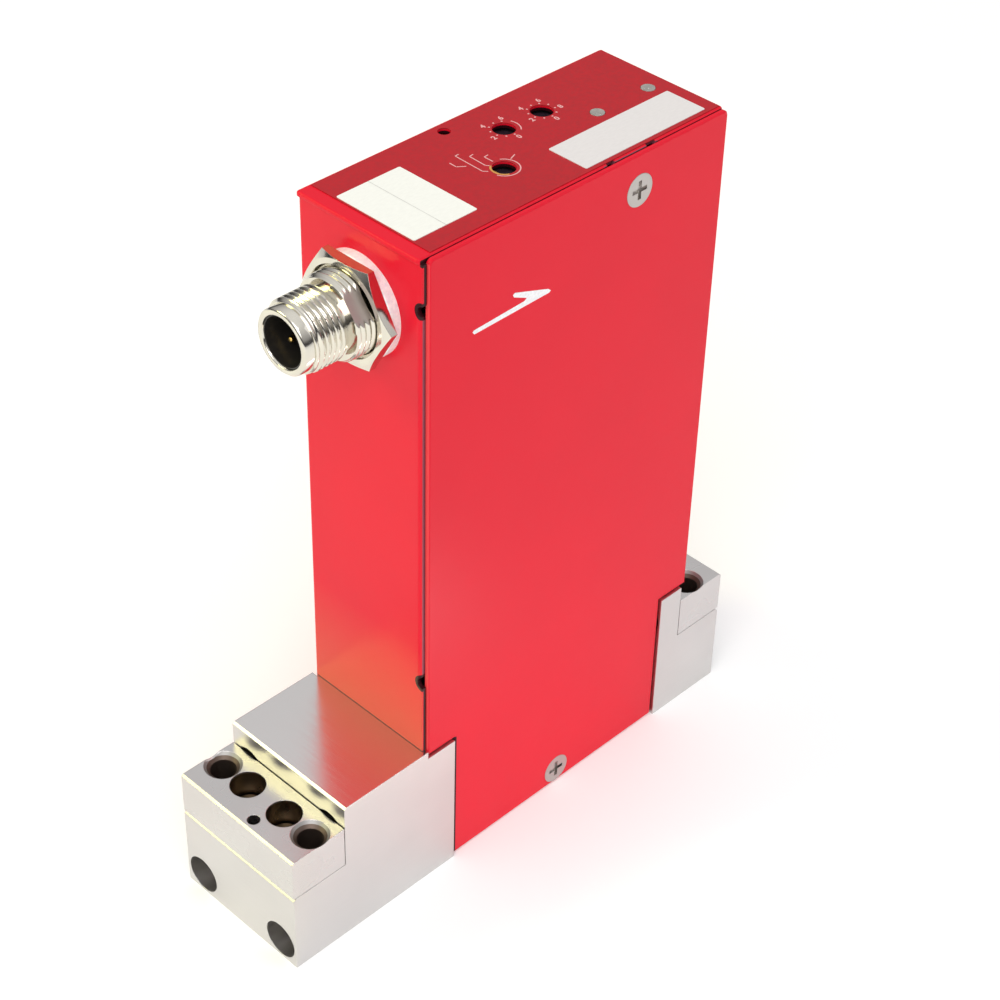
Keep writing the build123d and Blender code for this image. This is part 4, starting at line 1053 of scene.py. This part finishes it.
class FLOWCONTROLLER_OT_marks(bpy.types.Operator):
    """Print the dials' ticks, digits and guide lines, the flow arrow and the sticker's fold line"""

    bl_idname = "flowcontroller.marks"
    bl_label = "Printed marks"

    def execute(self, context):
        settings = context.scene.flow_marks
        ink = print_ink("dial_ink", tuple(settings.print_colour))
        self.ticks(settings.line_width, ink)
        self.lines(settings.line_width, ink)
        for number, positions in DIAL_POSITIONS.items():
            for digit in range(0, positions, 2):
                self.digit(number, digit, settings.digit_height, ink)
        self.third_dial_mark(print_ink("dial_mark_tan", (0.66, 0.30, 0.07)))
        self.arrow(print_ink("white_ink", (0.95, 0.95, 0.98)))
        self.fold(print_ink("fold_grey", (0.66, 0.66, 0.65)))
        return {"FINISHED"}

    def ticks(self, line_width, ink):
        """A short tick at each position of the numbered dials."""
        inner = 2.18 * MM
        outer = 2.48 * MM
        tick_width = 1.4 * line_width
        ticks = bmesh.new()
        for number, positions in DIAL_POSITIONS.items():
            for position in range(positions):
                ends = [tuple(beside_dial(number, position, radius)) for radius in (inner, outer)]
                ribbon(ticks, ends, tick_width, on_top)
        add_print("dial_ticks", ticks, UP, ink)

    def lines(self, line_width, ink):
        """The arcs round two dials and the guide lines beside the third."""
        lines = bmesh.new()
        beside_second = arc(rotor_centre(2).xy, 2.65 * MM, start=-48, end=22)
        round_third = arc(rotor_centre(3).xy, 2.50 * MM, start=-160, end=60)
        for curve in (beside_second, round_third):
            ribbon(lines, curve, line_width, on_top)

        # Corners of each guide line on the top, in millimetres from the frame's origin
        guides = [
            [(1.40, 4.70), (0.60, 4.66), (0.47, -1.35), (1.05, -1.95)],
            [(2.95, 3.20), (2.10, 3.08), (1.98, -0.45), (2.45, -0.95)],
            [(4.50, 1.55), (3.62, 1.48), (3.64, -0.35)],
            [(-1.47, 3.75), (-1.50, 2.25), (-0.30, 1.35)],
            [(6.20, -1.60), (7.55, -1.10)],
        ]
        for guide in guides:
            corners = [(x * MM, y * MM) for x, y in guide]
            for start, end in zip(corners, corners[1:]):
                ribbon(lines, [start, end], line_width, on_top)
        add_print("dial_lines", lines, UP, ink)

    def digit(self, number, digit, height, ink):
        """One flat digit beside a numbered dial."""
        # It is made at a size of one metre and then scaled down, since tiny outlines don't fill
        radius = 3.3 * MM
        stroke_gain = 0.036
        name = f"dial_{number}_digit_{digit}"
        letter = bpy.data.curves.new(name, "FONT")
        letter.body = str(digit)
        letter.size = 1.0
        letter.offset = stroke_gain
        letter.align_x = "CENTER"
        letter.align_y = "CENTER"
        helper = bpy.data.objects.new(name + "_curve", letter)
        bpy.context.scene.collection.objects.link(helper)
        bpy.context.view_layer.update()
        flat = bpy.data.meshes.new_from_object(helper)
        flat.name = name
        bpy.data.objects.remove(helper)
        place = on_top(*beside_dial(number, digit, radius))
        for vertex in flat.vertices:
            vertex.co = vertex.co * height + place
        add_piece(name, flat, ink)

    def third_dial_mark(self, ink):
        """Crescent that lies beside the third switch's opening."""
        width = 0.34 * MM
        crescent = bmesh.new()
        ribbon(crescent, arc(rotor_centre(3).xy, 2.06 * MM, start=122, end=248), width, on_top)
        add_print("dial_3_mark", crescent, UP, ink)

    def arrow(self, ink):
        """Half arrow on the side panel, one outline in millimetres along X and Z."""
        shaft_foot = [(-13.1, 109.4), (-13.35, 109.15), (-12.95, 108.65)]
        tip = [(2.9, 108.9), (3.25, 109.15), (2.6, 109.7)]
        barb = [(-4.6, 112.2), (-5.0, 111.95), (-4.75, 111.45)]
        root = [(-2.0, 110.15), (-2.5, 109.8)]
        arrow = bmesh.new()
        outline = shaft_foot + tip + barb + root
        arrow.faces.new([arrow.verts.new(on_panel(x * MM, z * MM)) for x, z in outline])
        add_print("flow_arrow", arrow, Vector((0, -1, 0)), ink)

    def fold(self, ink):
        """Line across the middle of the sticker."""
        fold_x = middle(STICKER_BOX).x
        ends = [(fold_x, STICKER_BOX[0].y), (fold_x, STICKER_BOX[1].y)]
        fold = bmesh.new()
        ribbon(fold, ends, 0.12 * MM, on_sticker)
        add_print("sticker_fold", fold, UP, ink)


class FLOWCONTROLLER_OT_stage(bpy.types.Operator):
    """Build the floor, the soft lights and the camera"""

    bl_idname = "flowcontroller.stage"
    bl_label = "Stage"

    def execute(self, context):
        settings = context.scene.flow_stage
        self.floor()
        self.world(context.scene)
        centre = middle(CAD_BOX)
        panel_foot = Vector((0.0, PANEL_BOX[0].y, 0.045))
        self.light(
            "key_light", settings.key_power, size=(0.9, 0.9), place=(-0.75, -0.55, 0.95),
            target=centre, colour=(1.0, 0.99, 0.97),
        )
        self.light(
            "fill_light", settings.fill_power, size=(0.8, 0.8), place=(0.75, -0.75, 0.75),
            target=centre, colour=(0.98, 0.98, 1.0),
        )
        self.light(
            "window_light", settings.window_power, size=(0.38, 0.38), place=(-0.66, 0.58, 0.60),
            target=centre, colour=(1.0, 0.97, 0.42),
        )
        self.light(
            "card_light", settings.card_power, size=(0.06, 0.008), place=(0.0, -0.07, 0.005),
            target=panel_foot, colour=(1.0, 1.0, 1.0),
        )
        self.camera(context.scene, settings)
        context.scene.view_settings.view_transform = "Standard"
        return {"FINISHED"}

    def floor(self):
        """Plain pale floor under the block, kept white by a faint glow of its own."""
        half = 6.0
        glow = 0.09
        shape = bmesh.new()
        corners = ((-half, -half), (half, -half), (half, half), (-half, half))
        shape.faces.new([shape.verts.new((x, y, BLOCK_BOX[0].z)) for x, y in corners])
        floor = bpy.data.objects.new("floor", finished_mesh("floor", shape, UP))
        material, tree, shader = new_finish("pale_floor")
        shade = grain(tree, 3.0, detail=1.0)
        pale = tones(tree, shade, (0.965, 0.965, 0.965), (0.98, 0.98, 0.98))
        tree.links.new(pale, shader.inputs["Base Color"])
        shader.inputs["Roughness"].default_value = 0.8
        shader.inputs["Specular IOR Level"].default_value = 0.1
        shader.inputs["Emission Color"].default_value = (1.0, 1.0, 1.0, 1.0)
        shader.inputs["Emission Strength"].default_value = glow
        floor.data.materials.append(material)
        bpy.context.scene.collection.objects.link(floor)

    def world(self, scene):
        """White surroundings that darken towards the horizon."""
        world = bpy.data.worlds.new("studio")
        world.use_nodes = True
        tree = world.node_tree
        background = tree.nodes["Background"]
        background.inputs["Strength"].default_value = 0.95
        split = tree.nodes.new("ShaderNodeSeparateXYZ")
        direction = tree.nodes.new("ShaderNodeTexCoord").outputs["Generated"]
        tree.links.new(direction, split.inputs["Vector"])
        ramp = tree.nodes.new("ShaderNodeValToRGB")
        stops = ramp.color_ramp.elements
        stops[0].position = 0.0
        stops[0].color = (0.05, 0.05, 0.06, 1.0)
        stops[1].position = 0.9
        stops[1].color = (1.0, 1.0, 1.0, 1.0)
        heights_and_greys = ((0.14, 0.10), (0.30, 0.42), (0.55, 0.66))
        for position, grey in heights_and_greys:
            band = stops.new(position)
            band.color = (grey, grey * 0.985, grey, 1.0)
        tree.links.new(split.outputs["Z"], ramp.inputs["Fac"])
        tree.links.new(ramp.outputs["Color"], background.inputs["Color"])
        scene.world = world

    def light(self, name, power, size, place, target, colour):
        """Soft light that faces a point of the object."""
        lamp = bpy.data.lights.new(name, "AREA")
        lamp.energy = power
        lamp.shape = "RECTANGLE"
        lamp.size, lamp.size_y = size
        lamp.color = colour
        made = bpy.data.objects.new(name, lamp)
        made.location = place
        made.visible_camera = False
        aim = target - Vector(place)
        made.rotation_mode = "QUATERNION"
        made.rotation_quaternion = aim.to_track_quat("-Z", "Y")
        bpy.context.scene.collection.objects.link(made)

    def camera(self, scene, settings):
        """Camera above the inlet end."""
        lens = bpy.data.cameras.new("camera")
        lens.lens = settings.focal_length
        lens.sensor_width = 36.0
        lens.clip_start = 0.01
        camera = bpy.data.objects.new("camera", lens)
        aim = Vector(settings.camera_aim)
        camera.location = settings.camera_place
        camera.rotation_mode = "QUATERNION"
        roll = Quaternion((0, 0, 1), settings.camera_roll)
        camera.rotation_quaternion = aim.to_track_quat("-Z", "Y") @ roll
        scene.collection.objects.link(camera)
        scene.camera = camera


class FLOWCONTROLLER_PT_panel(bpy.types.Panel):
    """Sizes, colours and steps of the flow controller's looks"""

    bl_idname = "FLOWCONTROLLER_PT_panel"
    bl_label = "Flow controller"
    bl_space_type = "VIEW_3D"
    bl_region_type = "UI"
    bl_category = "Flow controller"

    def draw(self, context):
        for name, group in SETTINGS.items():
            settings = getattr(context.scene, name)
            for prop in group.__annotations__:
                self.layout.prop(settings, prop)
        for step in STEPS:
            self.layout.operator(step.bl_idname)


SETTINGS = {
    "flow_case": CaseSettings,
    "flow_steel": SteelSettings,
    "flow_connector": ConnectorSettings,
    "flow_marks": MarkSettings,
    "flow_stage": StageSettings,
}
STEPS = (
    FLOWCONTROLLER_OT_stage,
    FLOWCONTROLLER_OT_block,
    FLOWCONTROLLER_OT_screws,
    FLOWCONTROLLER_OT_case,
    FLOWCONTROLLER_OT_connector,
    FLOWCONTROLLER_OT_switches,
    FLOWCONTROLLER_OT_insides,
    FLOWCONTROLLER_OT_marks,
)


def register():
    for name, group in SETTINGS.items():
        bpy.utils.register_class(group)
        setattr(bpy.types.Scene, name, PointerProperty(type=group))
    for step in STEPS:
        bpy.utils.register_class(step)
    bpy.utils.register_class(FLOWCONTROLLER_PT_panel)


def unregister():
    bpy.utils.unregister_class(FLOWCONTROLLER_PT_panel)
    for step in reversed(STEPS):
        bpy.utils.unregister_class(step)
    for name, group in reversed(SETTINGS.items()):
        delattr(bpy.types.Scene, name)
        bpy.utils.unregister_class(group)


def main():
    """Build the looks step by step."""
    register()
    for step in STEPS:
        group, action = step.bl_idname.split(".")
        getattr(getattr(bpy.ops, group), action)()


if __name__ == "__main__":
    main()
